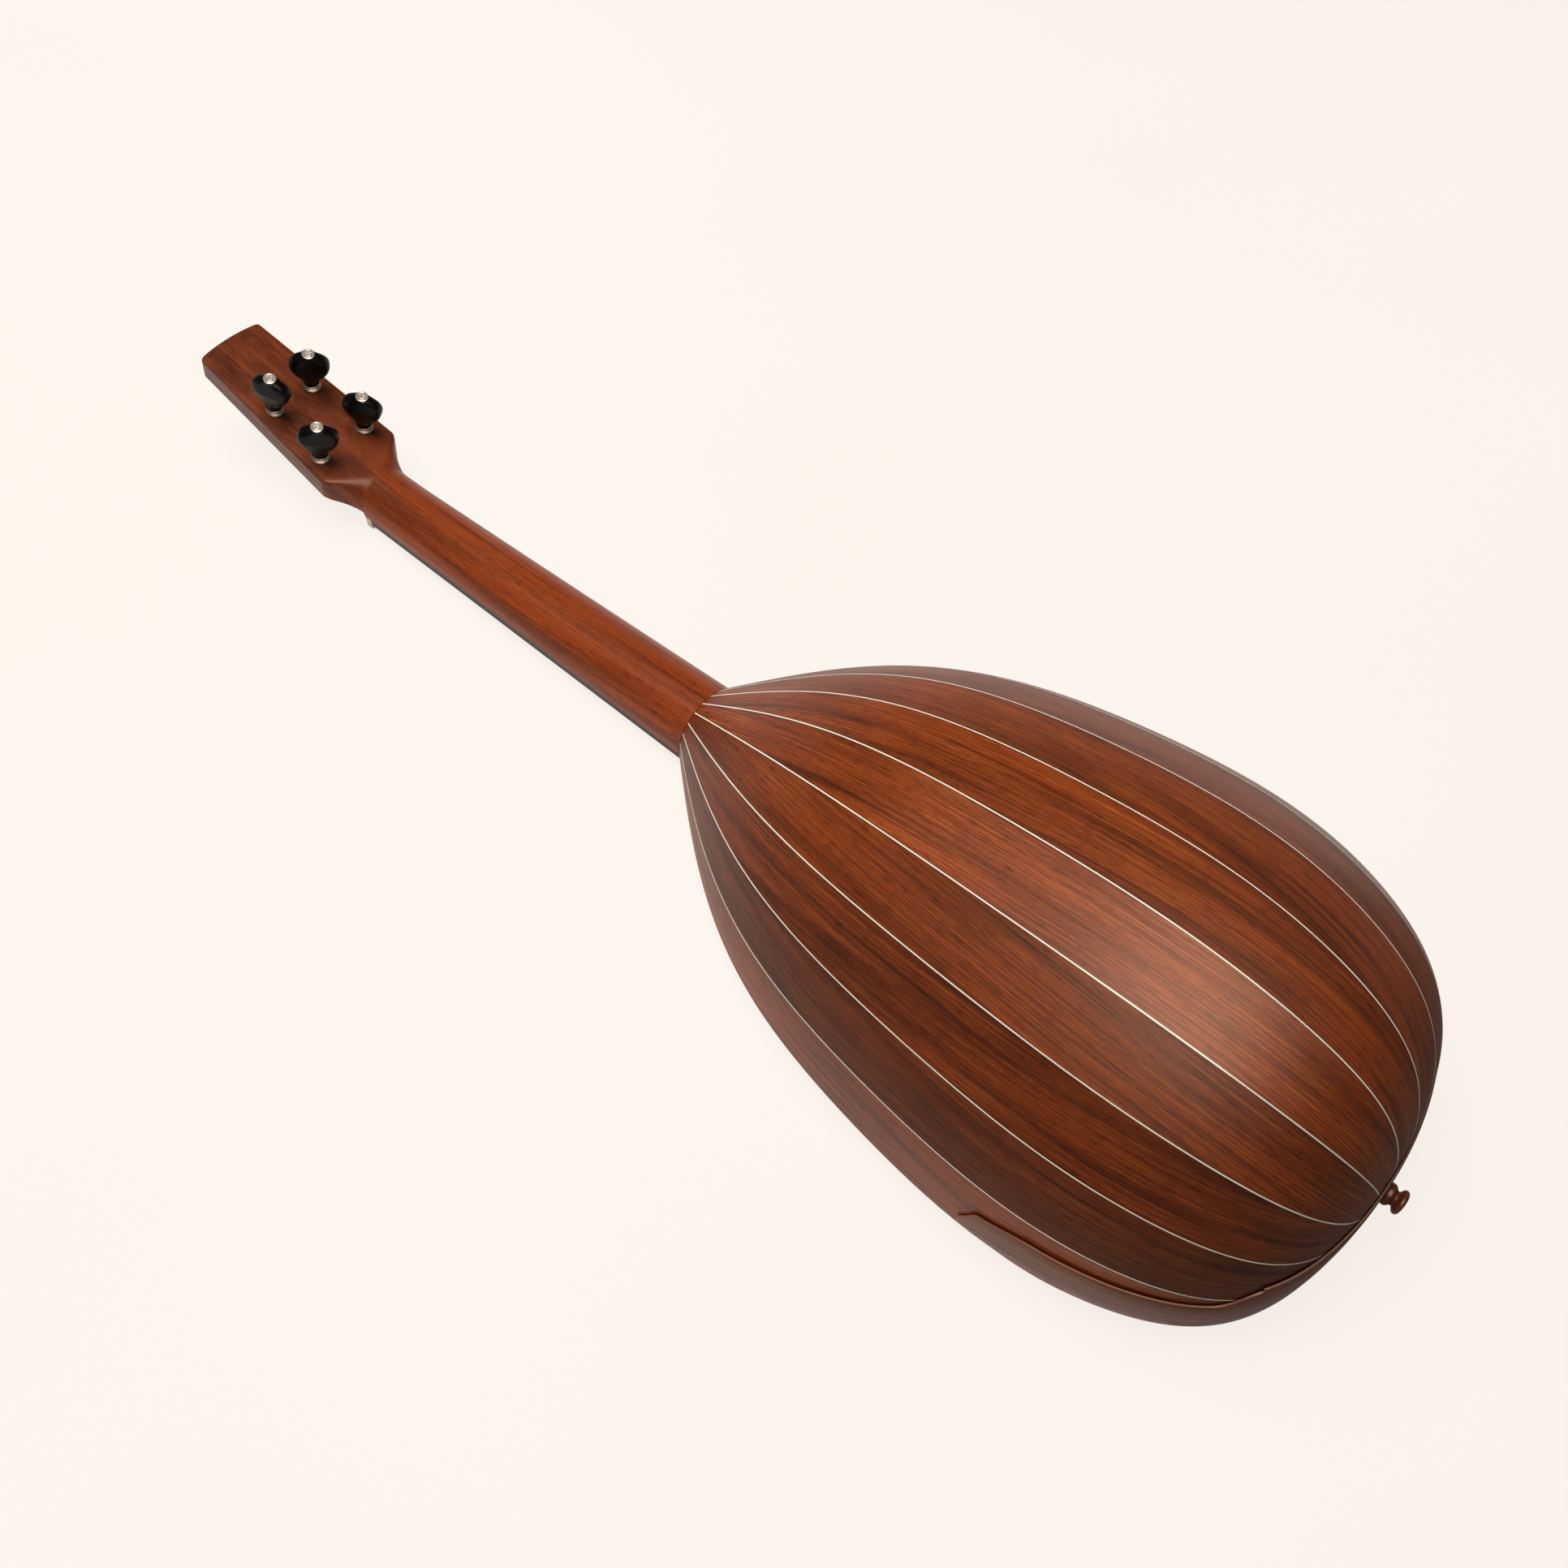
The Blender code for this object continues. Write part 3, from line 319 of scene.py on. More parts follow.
def board_wood(name):
    # Quarter-sawn spruce with straight rings 1.3 mm apart, and a ringed inlay round the sound hole.
    mat, tree, shader = surface(name)
    place = add(tree, "TexCoord").outputs["Object"]
    rings = add(tree, "TexNoise", Vector=grain_space(tree, 3.0, 750.0, "Object"), Scale=1.0,
                Detail=3.0).outputs[0]
    colour = add(tree, "ValToRGB", stops=((0.35, "#C79C62"), (0.55, "#DDB57B"), (0.7, "#E6C591")),
                 i0=rings).outputs[0]
    centre = (SOUNDHOLE_AT + SHIFT.x, 0.0, FRONT_Z + SHIFT.z)
    reach = add(tree, "VectorMath", {"operation": "DISTANCE"}, i0=place, i1=centre).outputs["Value"]
    for inner, outer, code in ROSETTE:
        past = add(tree, "Math", {"operation": "GREATER_THAN"}, i0=reach, i1=inner).outputs[0]
        within = add(tree, "Math", {"operation": "LESS_THAN"}, i0=reach, i1=outer).outputs[0]
        both = add(tree, "Math", {"operation": "MULTIPLY"}, i0=past, i1=within).outputs[0]
        colour = add(tree, "Mix", BLEND, i0=both, i6=colour, i7=srgb(code)).outputs[2]
    feed(tree, shader, Base_Color=colour, Roughness=0.38, Coat_Weight=0.25)
    return mat


def speckled(name, code, other, scale, rough, metallic=0.0, spread=0.08, shine=0.5):
    # A nearly even surface whose colour and polish drift with handling, in spots of scale to the metre.
    mat, tree, shader = surface(name)
    spots = add(tree, "TexNoise", Vector=grain_space(tree, scale, scale, "Object"), Scale=1.0,
                Detail=4.0).outputs[0]
    colour = add(tree, "ValToRGB", stops=((0.35, code), (0.65, other)), i0=spots).outputs[0]
    film = add(tree, "ValToRGB", stops=((0.3, rough - spread / 2), (0.7, rough + spread / 2)),
               i0=spots).outputs[0]
    feed(tree, shader, Base_Color=colour, Roughness=film, Metallic=metallic, Specular_IOR_Level=shine)
    return mat


# Bent rosewood ribs under satin lacquer: streaks 0.7 mm wide, and a lightness that differs from rib to rib,
# partly plank tone and partly painted reflection and painted highlight
rosewood = wood("rosewood_bent_ribs", "#501A06", "#924012", "#C06D2B", 1500.0, 0.41, pore=0.85, broad=0.8,
                shine=0.3, toned=True)
# Mahogany carved neck and headstock: streaks 0.9 mm wide, red along the neck and brown at the head
mahogany = neck_wood("mahogany_carved_neck")
# Brown strip bent round the tail: duller than the ribs, with plain streaks 1.4 mm wide
claspwood = wood("walnut_bent_clasp", "#562C1B", "#7C4830", "#955D43", 700.0, 0.44, pore=0.35, broad=0.35)
# Thin sliced headstock facing: a darker line under the headstock, with streaks 2.4 mm wide
veneerwood = wood("mahogany_sliced_veneer", "#4A2012", "#6C3720", "#84502F", 420.0, 0.40)
# Sawn rosewood bridge: dark and dry, with streaks 3.1 mm wide
bridgewood = wood("rosewood_sawn_bridge", "#2E170D", "#4E2B19", "#684026", 320.0, 0.5, coords="Object")
# Ebony planed fingerboard: nearly black, with faint streaks 3.1 mm wide
ebony = wood("ebony_planed_board", "#232424", "#313333", "#404242", 320.0, 0.5)
# Rosewood end button turned on a lathe: a small red gleam, with streaks 3.3 mm wide
buttonwood = wood("rosewood_turned_button", "#561F12", "#7A3821", "#985238", 300.0, 0.38)
# Inside braces and blocks, left bare: pale, dry and split along streaks 3.3 mm wide
bare = wood("spruce_split_brace", "#B8935F", "#D2AF7C", "#E0C497", 300.0, 0.65, coords="Object", shine=0.2)
# Maple line strips: thin bright lines that draw the ribs
maple = line_wood("maple_inlaid_line")
# Spruce soundboard, lacquered: straight pale grain
spruce = board_wood("spruce_quartersawn_board")
# Cast black acrylic buttons: deep black with soft reflections, in spots of 8 mm
black = speckled("acrylic_cast_button", "#060606", "#0B0A0A", 120.0, 0.32, spread=0.06, shine=0.16)
# Nickel plate on spun collars: warm dull grey, in spots of 8 mm
nickel = speckled("nickel_plated_collar", "#A09A90", "#B9B3A9", 120.0, 0.34, 0.85, 0.04)
# Nickel plate on headed screws and fret wire: brighter and cooler, in spots of 8 mm
bright = speckled("nickel_plated_screw", "#DADBDC", "#CFD0D2", 120.0, 0.33, 0.75, 0.04)
# Bleached bone, sanded: even cream, in spots of 4 mm
bone = speckled("bone_sanded_slip", "#DCD7C6", "#CFC8B4", 260.0, 0.42)
# Clear nylon strings, drawn: pale and smooth, in spots of 3 mm
nylon = speckled("nylon_drawn_string", "#E2DDD0", "#D6D0C0", 300.0, 0.34)


# Mesh helpers: every piece is built in place with its own grain space
def put(name, bm, mat, body="instrument", nodes=(), smooth_to=40.0, tone=None):
    bmesh.ops.recalc_face_normals(bm, faces=bm.faces)
    for face in bm.faces:
        face.smooth = True
    for edge in bm.edges:
        if len(edge.link_faces) == 2 and edge.calc_face_angle(0.0) > math.radians(smooth_to):
            edge.smooth = False
    mesh = bpy.data.meshes.new(name)
    bm.to_mesh(mesh)
    bm.free()
    if tone is not None:
        shade = mesh.attributes.new("tone", "FLOAT", "POINT")
        for spot in shade.data:
            spot.value = tone
    mesh.materials.append(mat)
    item = bpy.data.objects.new(name, mesh)
    bpy.context.scene.collection.objects.link(item)
    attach(item, body)
    if nodes:
        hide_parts(*nodes)


def in_row(p):
    return Vector(p) + SHIFT


def skin(bm, rings, closed=False, middle=0, seed=0.0, place=in_row, lean=0.0):
    # Skin rings of points face by face, because the grain has to follow the piece: it runs from ring to ring
    # and is measured across from one point of each ring.
    uv = bm.loops.layers.uv.get("grain") or bm.loops.layers.uv.new("grain")
    rows = [[bm.verts.new(place(p)) for p in ring] for ring in rings]
    count = len(rows)
    size = len(rows[0])
    along = [0.0]
    for a, b in zip(rows, rows[1:] + rows[:1]):
        along.append(along[-1] + (b[middle].co - a[middle].co).length)
    across = []
    for row, far in zip(rows, along):
        total = [0.0]
        for j in range(size):
            total.append(total[-1] + (row[(j + 1) % size].co - row[j].co).length)
        across.append([t - total[middle] + seed + lean * far for t in total])
    for i in range(count if closed else count - 1):
        k = (i + 1) % count
        for j in range(size):
            n = (j + 1) % size
            face = bm.faces.new((rows[i][j], rows[i][n], rows[k][n], rows[k][j]))
            spots = ((along[i], across[i][j]), (along[i], across[i][j + 1]),
                     (along[i + 1], across[k][j + 1]), (along[i + 1], across[k][j]))
            for loop, spot in zip(face.loops, spots):
                loop[uv].uv = spot
    if not closed:
        for row, far in ((rows[0], along[0]), (rows[-1], along[count - 1])):
            face = bm.faces.new(row)
            for loop in face.loops:
                loop[uv].uv = (far + loop.vert.co.z, seed + loop.vert.co.y)


def loft(name, rings, mat, body="instrument", nodes=(), closed=False, middle=0, seed=0.0, place=in_row,
         smooth_to=40.0, lean=0.0, tone=None):
    bm = bmesh.new()
    skin(bm, rings, closed, middle, seed, place, lean)
    put(name, bm, mat, body, nodes, smooth_to, tone)


def spun(profile, steps=48, closed=False):
    # A piece turned about local Z, from a list of (radius, height); an open profile gets its two ends filled.
    bm = bmesh.new()
    points = [bm.verts.new((r, 0.0, h)) for r, h in profile]
    pairs = list(zip(points, points[1:])) + ([(points[-1], points[0])] if closed else [])
    lines = [bm.edges.new(pair) for pair in pairs]
    bmesh.ops.spin(bm, geom=points + lines, cent=(0.0, 0.0, 0.0), axis=(0.0, 0.0, 1.0), angle=2 * math.pi,
                   steps=steps, use_merge=True)
    if not closed:
        bmesh.ops.holes_fill(bm, edges=[edge for edge in bm.edges if edge.is_boundary], sides=steps)
    return bm


def set_at(bm, place):
    # A piece moved from its own space to its place on the instrument.
    for vert in bm.verts:
        vert.co = place(vert.co)
    return bm


def flowing(points, steps):
    # A smooth curve through a list of equal-length tuples.
    ends = [points[0]] + list(points) + [points[-1]]
    out = []
    for a, b, c, d in zip(ends, ends[1:], ends[2:], ends[3:]):
        for i in range(steps):
            t = i / steps
            weights = ((-t + 2 * t * t - t ** 3) / 2, (2 - 5 * t * t + 3 * t ** 3) / 2,
                       (t + 4 * t * t - 3 * t ** 3) / 2, (t ** 3 - t * t) / 2)
            out.append(tuple(sum(w * p[n] for w, p in zip(weights, (a, b, c, d))) for n in range(len(b))))
    out.append(tuple(points[-1]))
    return out


def rounded(profile, size, steps=4, closed=False):
    # Round the corners of a (radius, height) profile by a small arc.
    if closed:
        trios = zip(profile[-1:] + profile[:-1], profile, profile[1:] + profile[:1])
    else:
        trios = zip(profile, profile[1:], profile[2:])
    out = [] if closed else [profile[0]]
    for before, here, after in trios:
        p = Vector(here)
        a = Vector(before) - p
        b = Vector(after) - p
        cut = min(size, a.length * 0.45, b.length * 0.45)
        start = p + a.normalized() * cut
        end = p + b.normalized() * cut
        for i in range(steps + 1):
            t = i / steps
            q = start * (1 - t) ** 2 + p * 2 * t * (1 - t) + end * t ** 2
            out.append((q.x, q.y))
    if not closed:
        out.append(profile[-1])
    return out


def tube(path, radius, sides):
    # Rings of a round strand along a path.
    rings = []
    across = Vector((0.3, 0.2, 1.0))
    for i, p in enumerate(path):
        along = (path[min(i + 1, len(path) - 1)] - path[max(i - 1, 0)]).normalized()
        across = (across - along * across.dot(along)).normalized()
        other = along.cross(across)
        turns = [2 * math.pi * j / sides for j in range(sides)]
        rings.append([p + radius * (across * math.cos(t) + other * math.sin(t)) for t in turns])
    return rings


def head_place(k=None, turned=True):
    # Headstock space to the row frame; with a peg number, that peg's own axis and resting turn.
    turn = Matrix.Translation(Vector((HEAD_X, 0, HEAD_Z)) + SHIFT) @ Matrix.Rotation(TILT, 4, "Y")
    if k:
        u, v, angle = PEGS[k]
        turn = turn @ Matrix.Translation((-u, v, 0))
        turn = turn @ Matrix.Rotation(math.radians(angle if turned else 0.0), 4, "Z")
    return lambda p: turn @ Vector(p)


def eased(node, mat, size, merge=0.000002, flat=0.02, hard=0.6):
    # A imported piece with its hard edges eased: points within merge are one, and edges past hard are rounded.
    bm = bmesh.new()
    bm.from_mesh(NODES[node].data)
    bmesh.ops.remove_doubles(bm, verts=bm.verts, dist=merge)
    bmesh.ops.dissolve_limit(bm, angle_limit=flat, verts=bm.verts, edges=bm.edges)
    edges = [edge for edge in bm.edges if edge.calc_face_angle(0.0) > hard]
    bmesh.ops.bevel(bm, geom=edges, offset=size, offset_type="OFFSET", segments=3, profile=0.5,
                    affect="EDGES", clamp_overlap=True, material=-1)
    put(node + "_eased", bm, mat, nodes=(node,), smooth_to=25.0)


def farthest(fits, low, high):
    # The largest value that still fits, by halving.
    for _ in range(50):
        middle = (low + high) / 2
        if fits(middle):
            low = middle
        else:
            high = middle
    return low


def ease(value):
    t = min(max(value, 0.0), 1.0)
    return t * t * (3 - 2 * t)


# Bowl
def outline_width(phase):
    total = JOINT_HALF_WIDTH * math.cos(phase)
    for i, wave in enumerate(OUTLINE_WAVES):
        total += BODY_HALF_WIDTH * wave * math.sin(2 * (i + 1) * phase)
    return total


def half_width(x):
    return outline_width(math.asin(min(max(x / BODY_LENGTH, 0.0), 1.0)))


def outline_stations(count):
    # Places along the bowl and the half-width at each, from the neck joint to the end of the ribs.
    pole = farthest(lambda phase: outline_width(phase) > POLE_RADIUS, math.pi / 4, math.pi / 2)
    phases = [pole * i / count for i in range(count + 1)]
    return [(BODY_LENGTH * math.sin(phase), outline_width(phase)) for phase in phases]


def inner_stations(rows, depth):
    # The same places, moved in square to the outline by the thickness of a rib.
    moved = []
    for i, (x, w) in enumerate(rows):
        a = rows[max(i - 1, 0)]
        b = rows[min(i + 1, len(rows) - 1)]
        size = math.hypot(b[0] - a[0], b[1] - a[1])
        moved.append((x + depth * (b[1] - a[1]) / size, w - depth * (b[0] - a[0]) / size))
    return moved


def seam(radius, k):
    # Where rib k begins on the half circle of that radius.
    angle = -math.pi / 2 + math.pi * k / RIB_COUNT
    return Vector((0.0, radius * math.sin(angle), RIM_GAP + radius * math.cos(angle)))


def rib_row(x, radius, k, gap_a, gap_b, steps):
    # Points across rib k, between flat and round, with a gap left at each seam.
    a = seam(radius, k)
    b = seam(radius, k + 1)
    width = (b - a).length
    points = []
    for i in range(steps + 1):
        f = (gap_a + (width - gap_a - gap_b) * i / steps) / width
        p = a.lerp(b, f).lerp(seam(radius, k + f), RIB_CAMBER)
        points.append(Vector((x, p.y, p.z)))
    return points


# How light each rib is, from one rim to the other: mostly each plank's own tone, with the first rib at the rim
# lightened as painted reflection of the pale floor and the fifth rib lightened as painted highlight
RIB_TONES_AND_SHEEN = (1.12, 0.58, 0.72, 0.86, 1.05, 0.95, 0.88, 0.76, 0.80, 0.85, 0.90)
stations = outline_stations(88)
inner = inner_stations(stations, RIB_THICKNESS)
gap = LINE_HALF + SEAM_GAP
for k in range(RIB_COUNT):
    gap_a = 0.0 if k == 0 else gap
    gap_b = 0.0 if k == RIB_COUNT - 1 else gap
    rings = []
    for (x, w), (xi, wi) in zip(stations, inner):
        rings.append(rib_row(x, w, k, gap_a, gap_b, 8) + rib_row(xi, wi, k, gap_a, gap_b, 8)[::-1])
    loft("rib_skin_%d" % (k + 1), rings, rosewood, nodes=("rib_%d" % (k + 1),), middle=4, seed=0.37 * k,
         lean=GRAIN_LEAN * math.sin(2.3 * k + 0.6), tone=RIB_TONES_AND_SHEEN[k])
for k in range(1, RIB_COUNT):
    rings = []
    for (x, w), (xi, wi) in zip(stations, inner):
        ring = []
        for xs, ws, turn in ((x, w, 1), (xi, wi, -1)):
            v = seam(ws, k)
            before = (seam(ws, k - 1) - v).normalized()
            after = (seam(ws, k + 1) - v).normalized()
            trio = [v + before * LINE_HALF, v, v + after * LINE_HALF][::turn]
            ring += [Vector((xs, p.y, p.z)) for p in trio]
        rings.append(ring)
    loft("line_skin_%d" % k, rings, maple, nodes=("rib_line_%d" % k,), middle=1)


# End clasp
def bowl_reach(angle, height):
    # How far the bowl reaches from its widest place, at an angle and a height.
    def inside(r):
        x = WIDEST_AT + r * math.cos(angle)
        return 0.0 <= x <= BODY_LENGTH and math.hypot(r * math.sin(angle), height) <= half_width(x)

    return farthest(inside, 0.0, BODY_LENGTH)


def clasp_height(angle):
    # Top edge of the clasp: low at each tip, level along the side, then up a lip to the step and the tail.
    tip, corner, side, lip, step, tail = CLASP_HEIGHTS
    size = abs(angle)
    if size <= CLASP_STEP_AT:
        return tail + (step - tail) * size / CLASP_STEP_AT
    left = CLASP_SWEEP - size
    height = tip + (corner - tip) * ease(left / CLASP_TIP_SWEEP)
    height += (side - corner) * ease(left / CLASP_EASE_SWEEP)
    rise = ease((CLASP_RISE_AT - size) / (CLASP_RISE_AT - CLASP_STEP_AT))
    return height + (lip - side) * rise


marks = [CLASP_STEP_AT * i / 24 for i in range(25)] + [CLASP_STEP_AT + math.radians(0.15)]
marks += [CLASP_STEP_AT + (CLASP_RISE_AT - CLASP_STEP_AT) * (i + 0.4) / 16.4 for i in range(17)]
span = CLASP_SWEEP - CLASP_TIP_SWEEP - CLASP_RISE_AT
marks += [CLASP_RISE_AT + span * i / 36 for i in range(1, 37)]
marks += [CLASP_SWEEP - CLASP_TIP_SWEEP * (1 - i / 14) for i in range(1, 15)]
rings = []
for angle in [-a for a in reversed(marks[1:])] + marks:
    top = clasp_height(angle)
    thin = CLASP_TIP_SHARE + (1 - CLASP_TIP_SHARE) * ease((CLASP_SWEEP - abs(angle)) / CLASP_THIN_SWEEP)
    levels = [RIM_GAP + (top - RIM_GAP) * f for f in (0.0, 0.02, 0.25, 0.5, 0.75, 0.97, 1.0)]
    seat = []
    face = []
    for level in levels:
        reach = bowl_reach(angle, max(level - RIM_GAP, 0.0)) + CLASP_SEAT_GAP * thin
        edge = CLASP_EDGE if level in (levels[0], levels[-1]) else 0.0
        proud = (CLASP_THICKNESS - edge) * thin
        for row, r in ((seat, reach), (face, reach + proud)):
            row.append((WIDEST_AT + r * math.cos(angle), r * math.sin(angle), level))
    rings.append(seat + face[::-1])
loft("clasp_skin", rings, claspwood, nodes=("end_clasp",), middle=9, seed=3.0, smooth_to=35.0)


# Neck and headstock, one run of wood from the bowl to the tip
def neck_half_width(x):
    return JOINT_HALF_WIDTH + (NUT_HALF_WIDTH - JOINT_HALF_WIDTH) * -x / NECK_LENGTH


def neck_depth(x):
    q = min(max(-x / NECK_LENGTH, 0.0), 1.0)
    return NECK_DEPTH_NUT + (JOINT_HALF_WIDTH - NECK_DEPTH_NUT) * (1 - q) ** NECK_HEEL_POWER


def head_half_width(u):
    # The sides sweep out to a softened shoulder, then run straight to the rounded corners of the tip.
    base = neck_half_width(HEAD_X)
    t = (u - SOFT_AT) / (HEAD_LENGTH - SOFT_AT)
    straight = SHOULDER_HALF + (TIP_HALF - SHOULDER_HALF) * t
    sweep = base + (SHOULDER_HALF - base) * (u / SOFT_AT) ** SWEEP_POWER
    near = max(SOFT_ROUND - abs(sweep - straight), 0.0) / SOFT_ROUND
    side = min(sweep, straight) - near * near * SOFT_ROUND / 4
    left = CORNER_RADIUS - (HEAD_LENGTH - u)
    if left > 0.0:
        side -= CORNER_RADIUS - math.sqrt(max(CORNER_RADIUS ** 2 - left ** 2, 0.0))
    return side


def top_line(x):
    # Back of the neck, eased into the sloping back of the headstock.
    neck = neck_depth(x)
    head = HEAD_Z + (HEAD_X - x) * math.tan(TILT) + HEAD_THICKNESS / math.cos(TILT)
    near = max(TOP_EASE - abs(neck - head), 0.0) / TOP_EASE
    return max(neck, head) + near * near * TOP_EASE / 4


def tip_bow(u):
    return TIP_BOW * max(0.0, (u - HEAD_LENGTH / 2) / (HEAD_LENGTH / 2)) ** 2


def head_ring(u, steps=64):
    # The round neck section runs out softly into the flat headstock, past the shoulders.
    blend = min(u / SHOULDER_AT, 1.0)
    power = 2.0 + HEAD_SQUARENESS * blend ** 2
    low = VENEER + FIT_GAP
    w = head_half_width(u)
    bow = tip_bow(u)
    side_top = low + (HEAD_THICKNESS - low) * (SIDE_LIFT * (1 - blend))
    part = ease(u / HEAD_RUN_OUT)
    ring = []
    for i in range(-1, steps + 2):
        a = math.pi * min(max(i, 0), steps) / steps
        reach = (abs(math.cos(a)) ** power + abs(math.sin(a)) ** power) ** (-1 / power)
        v = w * reach * math.cos(a)
        rise = reach * math.sin(a)
        n = side_top + (HEAD_THICKNESS - side_top) * rise if 0 <= i <= steps else low
        there = head_place()((-(u + PART_GAP + bow * (1 - (v / w) ** 2)), v, n))
        here = in_row((HEAD_X - u, v, top_line(HEAD_X - u) * rise))
        ring.append(here.lerp(there, part))
    return ring


rings = []
for i in range(61):
    x = -PART_GAP + (HEAD_X + PART_GAP) * i / 60
    w = neck_half_width(x)
    turns = [math.pi * j / 64 for j in range(65)]
    arc = [in_row((x, w * math.cos(t), top_line(x) * math.sin(t))) for t in turns]
    rings.append([in_row((x, w, FRONT_Z))] + arc + [in_row((x, -w, FRONT_Z))])
marks = [SHOULDER_AT * i / 40 for i in range(1, 76)]
span = HEAD_LENGTH - CORNER_RADIUS - marks[-1]
marks += [marks[-1] + span * i / 20 for i in range(1, 21)]
marks += [HEAD_LENGTH - CORNER_RADIUS * f for f in (0.8, 0.6, 0.45, 0.3, 0.18, 0.08, 0.02, 0.0)]
for u in marks:
    rings.append(head_ring(u))
loft("neck_skin", rings, mahogany, nodes=("neck", "headstock"), middle=33, seed=5.0, place=Vector)
rings = []
for u in [0.0] + marks:
    w = head_half_width(u)
    bow = tip_bow(u)
    along = u + PART_GAP + 4 * PART_GAP * max(0.0, 1 - u / SHOULDER_AT)
    spread = [1 - 0.2 * j for j in range(11)]
    ring = [(-(along + bow * (1 - f * f)), w * f, 0.0) for f in spread]
    ring += [(-(along + bow * (1 - f * f)), w * f, VENEER) for f in spread[::-1]]
    rings.append(ring)
loft("veneer_skin", rings, veneerwood, nodes=("headstock_veneer",), middle=5, seed=9.0, place=head_place())

# Fingerboard with pressed fret wires
rings = []
for i in range(25):
    x = NUT_X + FIT_GAP + (FINGERBOARD_OVERHANG - NUT_X - FIT_GAP) * i / 24
    w = neck_half_width(x)
    edge = w - BOARD_EDGE
    low = BOARD_FRONT_Z + BOARD_EDGE
    section = ((w, BOARD_BACK_Z), (w, low), (edge, BOARD_FRONT_Z), (-edge, BOARD_FRONT_Z), (-w, low),
               (-w, BOARD_BACK_Z))
    rings.append([(x, y, z) for y, z in section])
loft("fingerboard_skin", rings, ebony, nodes=("fingerboard",), seed=11.0, smooth_to=20.0)
# How far in from the end of a wire, and the share of its height there
FRET_ENDS = ((0.0, 0.4), (0.0004, 0.85), (0.001, 1.0))
bm = bmesh.new()
for k in range(1, FRET_COUNT + 1):
    x = NUT_X + SCALE_LENGTH * (1 - 2 ** (-k / 12))
    w = neck_half_width(x) - FRET_INSET
    root = BOARD_FRONT_Z + FRET_ROOT
    ends = [(inset - w, share) for inset, share in FRET_ENDS]
    ends += [(w - inset, share) for inset, share in FRET_ENDS[::-1]]
    rings = []
    for y, share in ends:
        ring = [(x + FRET_HALF, y, root)]
        for j in range(11):
            t = math.pi * j / 10
            ring.append((x + FRET_HALF * math.cos(t), y, BOARD_FRONT_Z - FRET_HEIGHT * share * math.sin(t)))
        rings.append(ring + [(x - FRET_HALF, y, root)])
    skin(bm, rings)
put("fret_wires", bm, bright)


# Soundboard with a clean round hole, let into a dark edge strip
def board_reach(angle):
    # How far the soundboard reaches from the middle of the sound hole, at an angle.
    def inside(r):
        x = SOUNDHOLE_AT + r * math.cos(angle)
        return PART_GAP <= x <= BODY_LENGTH and abs(r * math.sin(angle)) <= half_width(x)

    return farthest(inside, 0.0, BODY_LENGTH)


rings = []
strips = []
for i in range(240):
    a = 2 * math.pi * i / 240
    rim = board_reach(a)
    edge = rim - BINDING
    board = ((SOUNDHOLE_RADIUS, 0.0), (edge, 0.0), (edge, FRONT_Z), (SOUNDHOLE_RADIUS + HOLE_EDGE, FRONT_Z),
             (SOUNDHOLE_RADIUS, FRONT_Z + HOLE_EDGE))
    strip = ((edge, 0.0), (rim, 0.0), (rim, FRONT_Z + BINDING_EDGE), (rim - BINDING_EDGE, FRONT_Z),
             (edge, FRONT_Z))
    for rows, section in ((rings, board), (strips, strip)):
        rows.append([(SOUNDHOLE_AT + r * math.cos(a), r * math.sin(a), z) for r, z in section])
loft("soundboard_skin", rings, spruce, nodes=("soundboard",), closed=True, smooth_to=25.0)
loft("binding_strip", strips, claspwood, closed=True, seed=13.0, smooth_to=25.0)

# Small wood and bone pieces with eased edges
eased("bridge", bridgewood, BRIDGE_EDGE)
eased("nut", bone, BONE_EDGE)
eased("saddle", bone, BONE_EDGE)

# Pegs: winged button, cross-head screw and post turn together; collar and bushing stay on the headstock
# Share of the button's height, and its half-width there
BUTTON_SHAPE = [(0.0, BUTTON_FOOT), (0.10, BUTTON_FOOT)]
BUTTON_SHAPE += [(f, BUTTON_WIDE * part) for f, part in (
    (0.20, 0.52), (0.32, 0.74), (0.46, 0.91), (0.58, 0.985), (0.67, 1.0), (0.77, 0.96), (0.87, 0.82),
    (0.95, 0.60))]
BUTTON_SHAPE.append((1.0, BUTTON_TOP_RADIUS))


def button_rings(base):
    # Flat wings, thickest along a ridge, round at the foot and thinned toward the screw.
    rings = []
    for f, half in flowing(BUTTON_SHAPE, 6):
        power = 2.0 + WING_SQUARENESS * ease((half - BUTTON_FOOT) / (0.5 * BUTTON_WIDE))
        rise = max(0.0, (f - RIDGE_FROM) / (RIDGE_AT - RIDGE_FROM))
        thick = BUTTON_FOOT + (BUTTON_HALF_THICKNESS - BUTTON_FOOT) * rise
        if f > RIDGE_AT:
            thick = BUTTON_HALF_THICKNESS - BUTTON_THINNING * min(1.0, (f - RIDGE_AT) / RIDGE_FADE)
        ring = []
        for i in range(64):
            t = 2 * math.pi * i / 64
            c = math.cos(t)
            d = math.sin(t)
            x = min(half, BUTTON_WIDE) * math.copysign(abs(c) ** (2 / power), c)
            y = thick * math.copysign(abs(d) ** (2 / power), d)
            ring.append((x, y, base + BUTTON_HEIGHT * f))
        rings.append(ring)
    return rings


